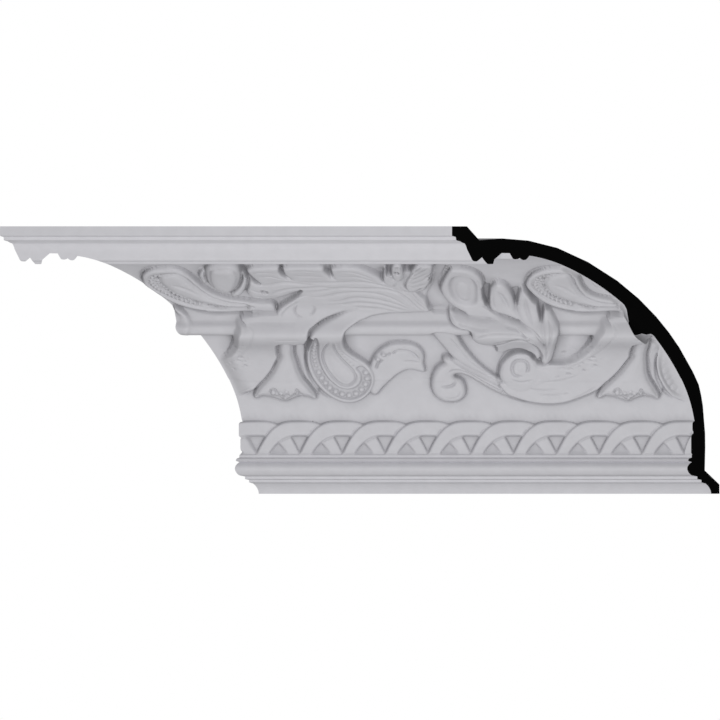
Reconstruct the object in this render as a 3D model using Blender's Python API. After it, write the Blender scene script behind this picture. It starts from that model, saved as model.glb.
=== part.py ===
"""Carved cove crown moulding: one cast length between two parallel 45 degree mitres.

The left end is coped as well: its lip is sawn away along the line of the section.

The front of the moulding is one grid of points. Its columns run along the length and its rows
follow the section from the ceiling fillet down to the wall flange. The carving is a height over
the smooth cove, worked out shape by shape, and every shape is written as its outline in the
front elevation: millimetres along the length and millimetres above the bottom edge.
"""

import bpy
import bmesh
import numpy as np
from math import ceil, cos, hypot, radians, sin

# Driving dimensions, in millimetres
DROP = 300.0
PROJECTION = 300.0
LENGTH = 507.3
WALL_FACE = 10.4
CEILING_FACE = 16.8
COVE_ARCS = (((236.8, 115.1), 153.8, 80.0, 65.1),
             ((286.0, 9.1), 270.7, 65.1, 26.4),
             ((186.8, 58.3), 160.3, 26.4, 8.8))
BACK_CENTRE = (281.9, 13.7)
BACK_RADIUS = 280.6
BACK_ANGLES = (22.8, 26.0, 32.4, 36.6, 41.2, 47.0, 53.4, 61.3, 69.1)
BAND_GROUND = 26.2
BAND_FLARE = ((26.2, 55.0), (26.4, 52.0), (27.0, 49.2), (28.2, 46.6), (29.6, 44.8), (31.2, 43.2))
RIB_HEIGHT = 17.8
CELL = 2.5
FACES = 9000
REPEAT_AT_WALL = 370.0
REPEAT_FAN = 0.415
MITRE_FADE = 6.0
LOW_MITRE_FADE = 24.0
ELEVATION_ORIGIN = 553.25
COPE_GAP = 0.3
MM = 0.001

# Members of the section: how far each runs back, how far it drops, how far it bulges, its steps
TOP_MEMBERS = (
    (0.0, 10.5, 0.0, 1),
    (4.5, 0.9, 0.0, 1),
    (0.2, 4.2, 0.0, 1),
    (5.0, 0.8, 0.0, 1),
    (4.3, 2.8, 0.3, 2),
    (2.7, 6.4, -0.4, 2),
    (5.1, 10.3, 0.0, 1),
    (4.2, 3.5, 1.0, 3),
    (2.9, -0.6, 0.3, 1),
    (4.8, -4.0, 0.0, 1),
    (5.2, 6.6, 0.3, 2),
    (1.2, 1.0, 0.0, 1),
    (5.4, 0.0, 0.0, 1),
    (0.9, -0.8, 0.0, 1),
    (1.1, -4.4, 0.0, 1),
    (8.3, -7.2, 0.0, 1),
    (8.9, 0.2, 0.0, 1),
    (3.6, 6.2, 0.0, 1),
    (7.7, -0.8, 1.0, 4),
    (3.1, 2.0, 0.3, 2),
    (4.0, -0.2, 0.4, 2),
    (3.6, -4.4, 0.3, 2),
    (3.2, 0.4, 0.0, 1),
)
FOOT_MEMBERS = (
    (0.0, 2.6, 0.0, 1),
    (-2.6, 0.9, 0.0, 1),
    (-1.4, 2.5, 0.0, 1),
    (1.2, 0.7, 0.0, 1),
    (2.9, 1.0, 0.0, 1),
    (-1.4, 14.0, 4.4, 8),
    (1.7, 0.9, 0.0, 1),
    (5.9, 1.2, 0.0, 1),
    (0.1, 2.9, 0.0, 1),
    (4.5, 0.9, 0.0, 1),
    (0.1, 2.8, 0.0, 1),
    (4.4, 1.2, 0.0, 1),
    (6.2, 9.4, -1.0, 4),
    (0.2, 2.2, 0.0, 1),
)
# The rib that crosses the cove: height over it, at distances either side of its crest
RIB_STATIONS = (-28.8, -22.5, -18.0, -12.1, -10.9, -9.9, -8.2, -5.4, -2.2, 0.6, 3.2, 5.4, 7.2, 8.4,
                13.4, 15.4, 18.4)
RIB_HEIGHTS = (0.0, 0.14, 0.34, 0.56, 0.62, 0.74, 0.86, 0.95, 1.0, 1.0, 0.95, 0.86, 0.72, 0.51,
               0.31, 0.08, 0.0)
RIB_ANGLE = 42.5
# The interlaced straps: pitch, face and the curves of their two edges
PITCH = 48.0
STRAP_TOP = (82.0, 35.3, 47.6, 3.2)
STRAP_UNDERSIDE = (64.6, 18.6, 33.0, 2.7)
STRAP_FACE = 31.8
STRAP_ROUND = 3.0


def arc_points(start, end, bulge, steps):
    """Points after start along an arc to end that bulges towards the room."""
    run = end[0] - start[0]
    fall = end[1] - start[1]
    chord = hypot(run, fall)
    points = []
    for step in range(1, steps + 1):
        share = step / steps
        lift = 4 * bulge * share * (1 - share)
        points.append((start[0] + run * share - fall / chord * lift,
                       start[1] + fall * share + run / chord * lift))
    return points


def run_members(start, members):
    """The section through a list of members, as depth from the wall and height."""
    points = [start]
    for back, drop, bulge, steps in members:
        here = points[-1]
        points += arc_points(here, (here[0] - back, here[1] - drop), bulge, steps)
    return points


def on_circle(centre, radius, angle):
    return (centre[0] - radius * cos(radians(angle)), centre[1] + radius * sin(radians(angle)))


class Cove:
    """The smooth three-centred cove, and the plumb ground of the band with its flare under it."""

    def __init__(self):
        points = []
        normals = []
        for centre, radius, first, last in COVE_ARCS:
            for angle in np.linspace(first, last, 200):
                points.append(on_circle(centre, radius, angle))
                normals.append((cos(radians(angle)), -sin(radians(angle))))
        foot = points[-1]
        for share in np.linspace(0.02, 1.0, 80):
            ease = min(1.0, share * 8)
            points.append((foot[0] + (BAND_GROUND - foot[0]) * ease,
                           foot[1] + (BAND_FLARE[0][1] - foot[1]) * share))
        points += BAND_FLARE[1:]
        normals += [(1.0, 0.0)] * (len(points) - len(normals))
        self.points = np.array(points)
        self.normals = np.array(normals)
        steps = np.hypot(*np.diff(self.points, axis=0).T)
        self.travel = np.concatenate(([0.0], np.cumsum(steps)))
        self.length = self.travel[-1]

    def at(self, travel):
        """Depth, height and normal where the distance down the cove is travel."""
        columns = (self.points[:, 0], self.points[:, 1], self.normals[:, 0], self.normals[:, 1])
        return [np.interp(travel, self.travel, column) for column in columns]

    def hump(self, travel):
        """The soft swelling with which the foliage rides over the rib."""
        off = travel - self.crest() + 1.0
        return RIB_HEIGHT * np.exp(-(off / np.where(off < 0, 15.0, 24.0)) ** 2)

    def crest(self):
        height = on_circle(COVE_ARCS[1][0], COVE_ARCS[1][1], RIB_ANGLE)[1]
        return np.interp(-height, -self.points[:, 1], self.travel)

    def travel_at(self, height, proud, ride):
        """Distance down the cove of a point seen at a height on a face that stands proud."""
        lift = proud + ride * self.hump(self.travel)
        seen = np.minimum.accumulate(self.points[:, 1] + lift * self.normals[:, 1])
        return np.interp(-np.asarray(height), -seen, self.travel)


class Carving:
    """Heights over the cove on a grid of places in the elevation."""

    def __init__(self, cove, across, down):
        self.cove = cove
        self.across = across
        self.down = down
        self.rib = RIB_HEIGHT * np.interp(down - cove.crest(), RIB_STATIONS, RIB_HEIGHTS)
        self.hump = cove.hump(down)
        self.height = self.rib.copy()

    def place(self, points, proud, ride, copy):
        """Elevation points brought onto the cove, in one of the repeats."""
        points = np.asarray(points, dtype=float)
        down = self.cove.travel_at(points[:, 1], proud, ride)
        depth = self.cove.at(down)[0]
        return np.column_stack((points[:, 0] + copy * (REPEAT_AT_WALL + REPEAT_FAN * depth), down))

    def window(self, path, margin):
        low = path.min(axis=0) - margin
        high = path.max(axis=0) + margin
        inside = (self.across > low[0]) & (self.across < high[0])
        return inside & (self.down > low[1]) & (self.down < high[1])

    def leaf(self, outline, top, edge=4.0, dome=0.0, width=10.0, ride=0.0, moat=3.0, groove=1.2,
             join=False, sloped=False):
        """A raised shape with a rounded edge and a domed middle, set in a shallow groove."""
        for copy in (-1, 0, 1):
            path = smooth_path(self.place(outline, top, ride, copy), True)
            spots = self.window(path, edge + moat)
            if not spots.any():
                continue
            depth = depth_inside(self.across[spots], self.down[spots], path)
            climb = np.clip(depth / edge + 0.5, 0, 1)
            wall = climb if sloped else np.sqrt(1 - (1 - climb) ** 2)
            middle = np.clip((depth - edge / 2) / width, 0, 1)
            raised = ride * self.hump[spots] + top * wall + dome * np.sqrt(1 - (1 - middle) ** 2)
            ground = self.height[spots]
            if join:
                self.height[spots] = np.where(depth > -edge / 2, np.maximum(ground, raised), ground)
                continue
            near = smooth(1 + (depth + edge / 2) / moat)
            ground = ground - near * (np.clip(ground, 0, 2.5) + groove)
            self.height[spots] = np.where(depth > -edge / 2, raised - groove * (1 - wall), ground)

    def line(self, points, half_width, lift, proud, ride=0.0, closed=False):
        """A rounded line raised on the carving, or cut into it when the lift is negative."""
        for copy in (-1, 0, 1):
            path = smooth_path(self.place(points, proud, ride, copy), closed)
            spots = self.window(path, half_width + 1)
            if not spots.any():
                continue
            off = distance_to(self.across[spots], self.down[spots], path, closed)
            self.height[spots] += lift * np.clip(1 - (off / half_width) ** 2, 0, 1)

    def pit(self, outline, floor, edge=2.5, proud=6.0, ride=0.0):
        """A gap cut down to a floor inside an outline."""
        for copy in (-1, 0, 1):
            path = smooth_path(self.place(outline, proud, ride, copy), True)
            spots = self.window(path, edge)
            if not spots.any():
                continue
            depth = depth_inside(self.across[spots], self.down[spots], path)
            share = smooth(depth / edge + 0.5)
            cut = np.minimum(self.height[spots], floor + ride * self.hump[spots])
            self.height[spots] += (cut - self.height[spots]) * share

    def interlace(self):
        """Arched straps that cross each other along the band, the rising leg on top."""
        depth, height = self.cove.at(self.down)[:2]
        low = height < 88.0
        proud = np.zeros_like(self.height)
        for number in range(4, 19):
            x = self.across - PITCH * number
            near = low & (np.abs(x) < STRAP_TOP[2] + 6)
            x = x[near]
            under = inside_arch(x, height[near], STRAP_TOP)
            over = -inside_arch(x, height[near], STRAP_UNDERSIDE)
            inset = np.minimum(under, over)
            face = STRAP_FACE - depth[near] - 1.8 * smooth((x + 6) / 26)
            rounding = np.sqrt(1 - (1 - np.clip(inset / STRAP_ROUND, 0, 1)) ** 2)
            on_top = (inset > -1.2) & (x < 2)
            kept = np.where(on_top, np.minimum(proud[near], face - 2.4), proud[near])
            proud[near] = np.maximum(kept, face * rounding)
        proud *= smooth((height - BAND_FLARE[-1][1]) / 2.5)
        self.height = np.where(low, np.maximum(self.height, proud), self.height)


def inside_arch(x, height, arch):
    """How far a point is under an arched line, measured square to the line."""
    crown, fall, reach, power = arch
    slope = fall * power / reach * (np.abs(x) / reach) ** (power - 1)
    return (crown - fall * (np.abs(x) / reach) ** power - height) / np.sqrt(1 + slope ** 2)


def smooth(share):
    share = np.clip(share, 0, 1)
    return share * share * (3 - 2 * share)


def smooth_path(points, closed, steps=6):
    """A Catmull-Rom curve through the points."""
    points = np.asarray(points, dtype=float)
    if closed:
        padded = np.vstack((points[-1:], points, points[:2]))
    else:
        padded = np.vstack((2 * points[:1] - points[1:2], points, 2 * points[-1:] - points[-2:-1]))
    share = (np.arange(steps) / steps)[:, None]
    pieces = []
    for a, b, c, d in zip(padded[:-3], padded[1:-2], padded[2:-1], padded[3:]):
        pieces.append(b + 0.5 * share * (c - a + share * (2 * a - 5 * b + 4 * c - d
                      + share * (3 * (b - c) + d - a))))
    if not closed:
        pieces.append(points[-1:])
    return np.vstack(pieces)


def distance_to(x, y, path, closed):
    """Distance from each place to a line of points."""
    ends = np.roll(path, -1, axis=0) if closed else path[1:]
    best = np.full(x.shape, 1e9)
    for (ax, ay), (bx, by) in zip(path, ends):
        dx = bx - ax
        dy = by - ay
        share = np.clip(((x - ax) * dx + (y - ay) * dy) / (dx * dx + dy * dy + 1e-12), 0, 1)
        best = np.minimum(best, np.hypot(x - ax - share * dx, y - ay - share * dy))
    return best


def depth_inside(x, y, path):
    """Distance to a closed outline, positive inside it."""
    inside = np.zeros(x.shape, dtype=bool)
    for (ax, ay), (bx, by) in zip(path, np.roll(path, -1, axis=0)):
        if ay != by:
            crosses = ((ay > y) != (by > y)) & (x < (bx - ax) * (y - ay) / (by - ay) + ax)
            inside ^= crosses
    away = distance_to(x, y, path, True)
    return np.where(inside, away, -away)


def carve_acanthus(carving):
    """The leaf that sweeps over the middle in three lobes, and the ruffle and eye at its end."""
    carving.leaf([(278, 248), (281, 251), (311, 251.8), (313.5, 247.5), (318, 243.5), (330, 240),
                  (330, 230), (300, 233), (291, 236), (285, 240.5)], 7.0, dome=1.0, width=8)
    carving.leaf([(317.5, 250), (322, 252), (361, 251.5), (369.5, 243), (382, 240), (380, 230),
                  (330, 230), (326, 240), (320, 244.5)], 7.0, dome=1.0, width=8)
    carving.leaf([(372, 250.5), (385, 252), (400, 251), (412, 247), (431, 237.5), (446, 232),
                  (446, 222), (380, 228), (376, 238), (372.5, 244)], 7.0, dome=1.0, width=8)
    carving.leaf([(279, 236), (304, 241), (330, 241.5), (375, 242), (410, 240), (430, 236),
                  (455, 229), (472, 218.5), (484, 205.5), (460, 203), (418, 199.5), (404, 195.5),
                  (390, 203), (372, 202), (352, 205), (340, 213), (332, 226), (306, 218.5),
                  (281, 221), (277.5, 228)], 6.5, dome=2.5, width=22, ride=0.75, join=True)
    for line in ([(324, 238.5), (372, 237), (405, 237.5), (447, 228.5)],
                 [(300, 222.5), (320, 229.5), (375, 231)],
                 [(340, 226), (380, 231.5), (428, 230), (466, 213)],
                 [(352, 211), (384, 213), (424, 213), (460, 205)]):
        carving.line(line, 3.2, -1.4, 7.5, ride=0.75)
    for gap in ([(311, 258), (316, 258), (318, 251.5), (324, 243), (318, 243.5), (313.5, 248)],
                [(361, 258), (370.5, 258), (371, 252), (373, 245.5), (371, 243.5), (365, 249)],
                [(306, 212), (314, 218), (332, 225.5), (338, 229.5), (337.5, 223.5), (319, 212.5),
                 (309.5, 199), (306, 203)]):
        carving.pit(gap, -4.5)
    carving.leaf([(439.5, 250), (441, 255), (449, 255), (452, 251), (452, 243), (448, 238),
                  (443, 239), (440, 243.5)], 10.0, edge=3, join=True)
    carving.leaf([(460, 246), (467, 254), (484, 253.5), (485, 249.5), (479, 242.5), (483, 241),
                  (479.5, 232.5), (472, 229.5), (459, 226), (454, 235)],
                 10.5, edge=3, dome=1.5, width=8, join=True)


def carve_palmette(carving):
    """The hollow spoon lobe and the three rounded lobes that run together above the volute."""
    carving.leaf([(505, 204), (530, 201.5), (552, 203.5), (575, 195.5), (600, 180.5), (611, 165),
                  (612, 150), (603, 154), (598, 164), (586, 170), (551, 166), (531, 172),
                  (529, 180.5), (516, 185), (505.5, 196)], 5.5, dome=2.5, width=12, ride=1.0)
    carving.leaf([(503.5, 247.5), (516, 250), (527, 248), (536, 243), (541, 228), (541, 218),
                  (551, 204), (532, 200.5), (510, 209.5), (497, 222.5), (495, 230), (498, 238)],
                 8.5, edge=3, dome=1.0, width=4, ride=0.8)
    carving.pit([(504.5, 229), (505, 237), (510, 242.5), (520, 243), (529, 239.5), (535, 222),
                 (526, 211.5), (509, 219)], 4.0, edge=7, proud=8.0, ride=0.3)
    carving.leaf([(549, 212), (549.5, 222), (552, 229), (557, 233), (567.5, 229), (575.5, 215),
                  (578, 206), (584, 195), (570, 198), (553, 204.5)],
                 8.0, dome=1.5, width=7, ride=1.0, moat=2.0, groove=0.8)
    carving.leaf([(580, 211), (581.5, 219), (588.5, 225.5), (593.5, 222), (603, 208),
                  (605.5, 197), (610, 182), (611, 166), (601, 177), (590, 187), (582, 197)],
                 8.5, edge=5, dome=1.5, width=7, ride=1.0, join=True)
    carving.leaf([(607.5, 197), (608.5, 203.5), (611, 206), (615, 203), (623, 188.5),
                  (625.5, 181), (621, 160), (612, 145), (608, 150), (611.5, 164), (609, 176)],
                 8.5, dome=1.5, width=6, ride=1.0, join=True)
    for gap in ([(540.5, 229), (549.5, 230.5), (548.6, 214), (550, 209.5), (546, 210.5)],
                [(574.5, 226), (581.5, 227.5), (580.5, 219), (579, 213), (576, 222)],
                [(603, 214), (610, 211), (609, 205), (607, 198), (603.6, 208)]):
        carving.pit(gap, -2.5, proud=5.0, ride=0.4)
    carving.line([(541, 209), (555, 203.8), (575, 195.5), (600, 179.5), (611.5, 161), (611, 149)],
                 2.4, -1.6, 8.0, ride=1.0)
    carving.leaf([(553, 164), (574, 171), (588, 171), (600, 165), (606, 155), (601, 151),
                  (594, 158.8), (573, 162), (555, 160)], 5.5, edge=3, ride=1.0, moat=2.0,
                 groove=0.5)


def carve_bud_and_paisley(carving):
    """The round bud with its petals, and the beaded paisley leaf with its tail."""
    carving.leaf([(224, 243), (226, 247), (231.5, 248.5), (236, 245), (234, 236), (228, 236.5)],
                 6.0, edge=3)
    carving.leaf([(261, 246), (268, 248), (274, 246.5), (276.5, 241), (272, 224.5), (260, 223)],
                 7.0, edge=3)
    carving.leaf([(232.5, 248), (236, 251.5), (257, 252.3), (264.5, 250), (268, 245),
                  (264, 230), (257, 225), (247, 226), (238, 231)], 9.0, edge=6.5, dome=4.5, width=15)
    carving.leaf([(591, 232), (597, 243.5), (605, 247.5), (614, 249.5), (640, 249.5),
                  (649.5, 236.5), (659, 223.5), (682, 216), (720, 212), (720, 204.5),
                  (652, 203.5), (616, 211.5), (595.5, 226)], 7.5, edge=3.2, ride=0.3)
    carving.pit([(596.5, 233), (598.5, 239), (614, 246), (638.5, 246), (645.5, 234), (656, 220.5),
                 (682, 212.5), (700, 210), (652, 207), (618, 215), (606, 222)],
                5.2, proud=7.5, ride=0.3)
    carving.leaf([(611, 236), (614, 243), (634, 245.8), (643.5, 234), (657, 219), (690, 211),
                  (650, 212.5), (618, 225)], 5.8, edge=3, dome=2.6, width=9, ride=0.3, groove=0.5)


def carve_stem_and_curl(carving):
    """The hooked curl, the diagonal stem that slips out from under the rib, and the wave leaf."""
    carving.leaf([(511, 149.5), (499, 151.8), (498.3, 145.5), (487, 134), (485, 117.5),
                  (495.2, 105.2), (511.5, 103.6), (521.6, 112.5), (516.5, 127), (508.6, 132),
                  (521, 133.6), (548, 118.9), (585, 104.8), (592, 108), (545, 133), (526, 143)],
                 6.5, edge=3, dome=2.5, width=9)
    carving.leaf([(485.5, 181), (498, 164.5), (510, 151.5), (540, 134.5), (570, 118), (556, 130.3),
                  (530, 151), (507, 180.5)], 5.5, edge=3, dome=1.5, width=8, ride=0.3)
    carving.leaf([(508, 150), (540, 133.5), (560, 123.5), (556, 119), (515, 139), (504, 146)],
                 6.5, join=True)
    carving.leaf([(418.5, 150), (429.5, 162.3), (448, 167.6), (466, 164.6), (474.8, 153),
                  (476, 137.2), (462, 139.4), (445, 133.6), (421, 111.5), (414, 118), (415, 138)],
                 4.5, edge=2.5, dome=1.2, width=5)


def carve_scroll_band(carving):
    """The broad stem from the volute up to the strap, and the arch on into the next leaf."""
    carving.leaf([(678, 190), (675, 181), (663, 163), (652.5, 154), (641, 147.5), (618, 144),
                  (620, 137), (650, 140), (682, 165), (688, 182), (688, 190)],
                 8.3, edge=6, ride=1.0, moat=1.0, groove=0.0, sloped=True)
    carving.leaf([(561, 124), (580, 107), (605, 101.3), (620, 100.8), (648, 107), (680, 122),
                  (694, 133), (711, 158.5), (714, 165.5), (741, 167.5), (741, 197.5),
                  (686, 197.5), (682, 180), (669, 162.5), (646, 147.5), (615, 144), (604, 140),
                  (585, 120)], 8.5, edge=3, ride=1.0, join=True)
    carving.leaf([(286, 197.5), (308.5, 197.5), (317, 208.5), (338, 221), (352, 221), (376, 214),
                  (402, 208.5), (374, 200), (352.5, 187.5), (345.5, 180), (340.5, 167.5),
                  (286, 168)], 8.5, edge=3, ride=1.0, join=True)
    carving.leaf([(561.5, 131), (561.8, 139), (569.5, 152.5), (586, 157.5), (599, 148.5),
                  (606, 136), (602, 122), (588, 113), (570, 117)],
                 8.0, dome=2.5, width=20, join=True)
    carving.leaf([(562, 124), (570, 118.5), (585, 116), (618, 126), (622, 136), (600, 141),
                  (596, 128)], 8.0, dome=1.5, width=12, join=True)
    carving.line([(586, 131.6), (577.5, 132.5), (574.2, 139), (576.5, 146.5), (590.5, 146.5),
                  (592.5, 140), (590, 134.5)], 2.6, -2.2, 10.5)
    carving.pit([(560, 146), (572, 159.5), (590, 163.6), (601, 153), (601.8, 148.5),
                 (593.5, 156.6), (576, 158.3)], -3.0, proud=5.0)


def carve_bell_and_comma(carving):
    """The bell flower over a narrow leaf, and the hanging comma with its beaded channel."""
    carving.leaf([(327, 167), (340, 167), (345, 140), (357, 119), (354.5, 112), (337, 134)],
                 2.0, edge=2.5)
    carving.leaf([(313.5, 171), (314, 154), (305.5, 136.5), (290, 118.5), (287, 107.6),
                  (303, 109.2), (320, 104.5), (337, 110), (353, 107), (347.5, 118), (334.5, 137),
                  (328.6, 156), (326.5, 171)], 6.0, dome=4.0, width=12, ride=0.25)
    carving.leaf([(404, 207.5), (380, 199), (359, 187), (347.5, 171.5), (344.6, 148),
                  (352.5, 127), (368, 111), (388, 102.4), (407.5, 107.2), (418.6, 122.5),
                  (416, 138), (401, 150.4), (386, 162), (383.6, 169.5), (389.5, 183.5),
                  (405.5, 194.6), (414, 200.2)], 8.0, edge=3.2, ride=0.9, moat=2.5, groove=0.3)
    carving.leaf([(400, 206), (414, 209), (436, 203), (407, 195.2)], 8.0, ride=0.9, join=True)
    carving.pit([(351, 174), (347.6, 152), (356, 128.5), (372.5, 112), (390, 105.8),
                 (406.5, 110.5), (415.8, 123.5), (412.5, 136.8), (406, 142.6), (400, 140),
                 (404.5, 125.5), (391, 117.2), (371.5, 126), (358.6, 147), (360, 169), (357, 176)],
                5.0, proud=8.0, ride=0.8)
    carving.leaf([(370.5, 172), (364.6, 153), (373.5, 133.5), (387, 124), (395.2, 132),
                  (382.5, 147.5), (373, 166)], 7.0, dome=2.2, width=9, ride=0.5, join=True)
    carving.pit([(341, 166), (342, 175), (348, 182), (351.5, 180.5), (344.4, 163.5)],
                -5.0, proud=4.0, ride=0.4)


def make_material():
    material = bpy.data.materials.new("primed_casting")
    material.use_nodes = True
    shader = material.node_tree.nodes["Principled BSDF"]
    shader.inputs["Base Color"].default_value = (0.72, 0.71, 0.74, 1.0)
    shader.inputs["Roughness"].default_value = 0.55
    shader.inputs["Metallic"].default_value = 0.0
    return material


def link_mesh(name, mesh):
    """A new object made of a bmesh, which is freed."""
    data = bpy.data.meshes.new(name)
    mesh.to_mesh(data)
    mesh.free()
    thing = bpy.data.objects.new(name, data)
    bpy.context.scene.collection.objects.link(thing)
    return thing


def to_frame(mesh):
    """From millimetres over the bottom edge to metres, with the origin on the wall face."""
    bmesh.ops.scale(mesh, vec=(MM, MM, MM), verts=mesh.verts)
    bmesh.ops.translate(mesh, vec=(0.0, 0.0, -WALL_FACE / 2 * MM), verts=mesh.verts)
    bmesh.ops.recalc_face_normals(mesh, faces=mesh.faces)


def make_saw_cut(cove, top):
    """The waste of the cope: what lies under the line of the section at the left end."""
    outline = [(PROJECTION - depth, height - COPE_GAP) for depth, height in top
               if depth < 274.5 and height < 285.0]
    outline += [(PROJECTION - depth, height - COPE_GAP) for depth, height in cove.points[:-1:24]
                if height > 256.5]
    outline += [(outline[-1][0], 252.0), (outline[0][0] - 1.0, 252.0),
                (outline[0][0] - 1.0, outline[0][1])]
    mesh = bmesh.new()
    corners = [mesh.verts.new((x - ELEVATION_ORIGIN, -320.0, z)) for x, z in outline]
    face = mesh.faces.new(corners)
    pulled = bmesh.ops.extrude_face_region(mesh, geom=[face])["geom"]
    moved = [part for part in pulled if isinstance(part, bmesh.types.BMVert)]
    bmesh.ops.translate(mesh, vec=(0.0, 340.0, 0.0), verts=moved)
    to_frame(mesh)
    saw_cut = link_mesh("saw_cut", mesh)
    saw_cut.hide_render = True
    saw_cut.display_type = "WIRE"
    return saw_cut


def make_moulding():
    cove = Cove()
    rows = int(ceil(cove.length / CELL)) + 1
    columns = int(ceil(LENGTH / CELL)) + 1
    travel = np.linspace(0, cove.length, rows)
    along = np.linspace(-LENGTH / 2, LENGTH / 2, columns)
    down, along = np.meshgrid(travel, along, indexing="ij")
    depth, height, out, up = cove.at(down)
    carving = Carving(cove, along - depth + ELEVATION_ORIGIN, down)
    for carve in (carve_acanthus, carve_palmette, carve_bud_and_paisley, carve_stem_and_curl,
                  carve_scroll_band, carve_bell_and_comma):
        carve(carving)
    # the carving dies out before each mitre, and there the sheet stays in the plane of the cut
    fade_under = np.where(along < 0, 210.0, 168.0)
    fade = MITRE_FADE + (LOW_MITRE_FADE - MITRE_FADE) * smooth((fade_under - height) / 12)
    share = smooth((LENGTH / 2 - np.abs(along)) / fade)
    carving.height = carving.rib + (carving.height - carving.rib) * share
    carving.interlace()
    relief = carving.height
    front = np.stack((along - depth - relief * out * (1 - share), -(depth + relief * out),
                      height + relief * up), axis=-1)

    # plain members above and below, and the back of the casting
    top = run_members((PROJECTION, DROP), TOP_MEMBERS)
    foot = run_members(BAND_FLARE[-1], FOOT_MEMBERS)[1:]
    back = [(foot[-1][0], 0.0), (0.0, 0.0), (0.0, WALL_FACE), (16.5, 26.2), (15.9, 52.5),
            (16.1, 68.0), (17.1, 79.8), (18.6, 98.9), (20.6, 111.0)]
    back += [on_circle(BACK_CENTRE, BACK_RADIUS, angle) for angle in BACK_ANGLES]
    back += [(214.3, 284.0), (243.3, 286.4), (269.3, 284.4), (PROJECTION - CEILING_FACE, DROP)]

    mesh = bmesh.new()
    ends = (-LENGTH / 2, LENGTH / 2)

    def plain_row(point):
        return [mesh.verts.new((end - point[0], -point[0], point[1])) for end in ends]

    strips = [plain_row(point) for point in top]
    carved = [[mesh.verts.new(spot) for spot in row] for row in front]
    after = [plain_row(point) for point in foot + back]
    loop = strips + carved + after
    for upper, lower in zip(loop, loop[1:] + loop[:1]):
        if len(upper) == len(lower):
            for first, second, third, fourth in zip(upper, lower, lower[1:], upper[1:]):
                mesh.faces.new((first, second, third, fourth))
        else:
            mesh.faces.new(upper[::-1] + lower)
    mesh.faces.new([row[0] for row in reversed(loop)])
    mesh.faces.new([row[-1] for row in loop])
    to_frame(mesh)
    bmesh.ops.triangulate(mesh, faces=mesh.faces)
    moulding = link_mesh("crown_moulding", mesh)
    moulding.data.materials.append(make_material())
    lighter = moulding.modifiers.new("lighter", "DECIMATE")
    lighter.ratio = FACES / len(moulding.data.polygons)
    cope = moulding.modifiers.new("cope", "BOOLEAN")
    cope.object = make_saw_cut(cove, top)
    cope.operation = "DIFFERENCE"
    cope.solver = "EXACT"


for thing in list(bpy.data.objects):
    bpy.data.objects.remove(thing, do_unlink=True)
make_moulding()
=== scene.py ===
from math import cos, hypot, radians, sin

import bmesh
import bpy
import numpy as np
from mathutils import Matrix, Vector
from mathutils.kdtree import KDTree


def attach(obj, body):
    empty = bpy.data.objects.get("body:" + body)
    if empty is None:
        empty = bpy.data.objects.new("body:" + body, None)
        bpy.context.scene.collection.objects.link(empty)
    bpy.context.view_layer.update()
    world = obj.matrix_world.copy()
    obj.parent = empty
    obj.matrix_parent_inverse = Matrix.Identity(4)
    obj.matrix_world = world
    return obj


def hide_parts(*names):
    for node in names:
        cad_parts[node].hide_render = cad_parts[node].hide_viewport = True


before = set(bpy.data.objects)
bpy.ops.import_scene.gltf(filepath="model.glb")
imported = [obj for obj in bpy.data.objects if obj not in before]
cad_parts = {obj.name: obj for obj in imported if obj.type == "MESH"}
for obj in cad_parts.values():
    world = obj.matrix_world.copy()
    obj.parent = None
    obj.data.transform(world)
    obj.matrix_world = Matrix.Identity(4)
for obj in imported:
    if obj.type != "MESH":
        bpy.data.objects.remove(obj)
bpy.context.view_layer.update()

# The section of the moulding
# A hollow casting of rigid foam, 300 mm down the wall and 300 mm out over the ceiling. Its front is
# a cove struck from three centres, with plain members above and below it.
DROP = 300.0
PROJECTION = 300.0
# each arc of the cove: its centre, its radius, and the angles between which it runs
COVE_ARCS = (((236.8, 115.1), 153.8, 80.0, 65.1),
             ((286.0, 9.1), 270.7, 65.1, 26.4),
             ((186.8, 58.3), 160.3, 26.4, 8.8))
ARC_STEPS = 200
# under the cove the ground of the band, which flares out to its foot
BAND_GROUND = 26.2
BAND_START = 0.02
BAND_STEPS = 80
BAND_EASE = 0.125
BAND_FLARE = ((26.2, 55.0), (26.4, 52.0), (27.0, 49.2), (28.2, 46.6), (29.6, 44.8), (31.2, 43.2))
# plain members: how far each runs back, how far it drops, its bulge, its steps
TOP_MEMBERS = (
    (0.0, 10.5, 0.0, 1),
    (4.3, 1.6, 0.0, 1),
    (0.4, 3.5, 0.0, 1),
    (4.8, 1.5, 0.0, 1),
    (4.5, 2.1, 0.3, 3),
    (2.7, 6.4, -0.4, 4),
    (5.1, 10.3, 0.0, 2),
    (4.2, 3.5, 1.0, 5),
    (2.9, -0.6, 0.3, 2),
    (4.8, -4.0, 0.0, 1),
    (5.2, 6.6, 0.3, 2),
    (1.2, 1.0, 0.1, 2),
    (5.4, 0.0, 0.0, 1),
    (0.9, -0.8, 0.1, 2),
    (1.1, -4.4, 0.0, 1),
    (8.3, -7.2, 0.0, 1),
    (8.9, 0.2, 0.0, 1),
    (3.6, 6.2, 0.0, 1),
    (7.7, -0.8, 1.0, 6),
    (3.1, 2.0, 0.3, 3),
    (4.0, -0.2, 0.4, 3),
    (3.6, -4.4, 0.3, 3),
    (3.2, 0.4, 0.0, 1),
)
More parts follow.
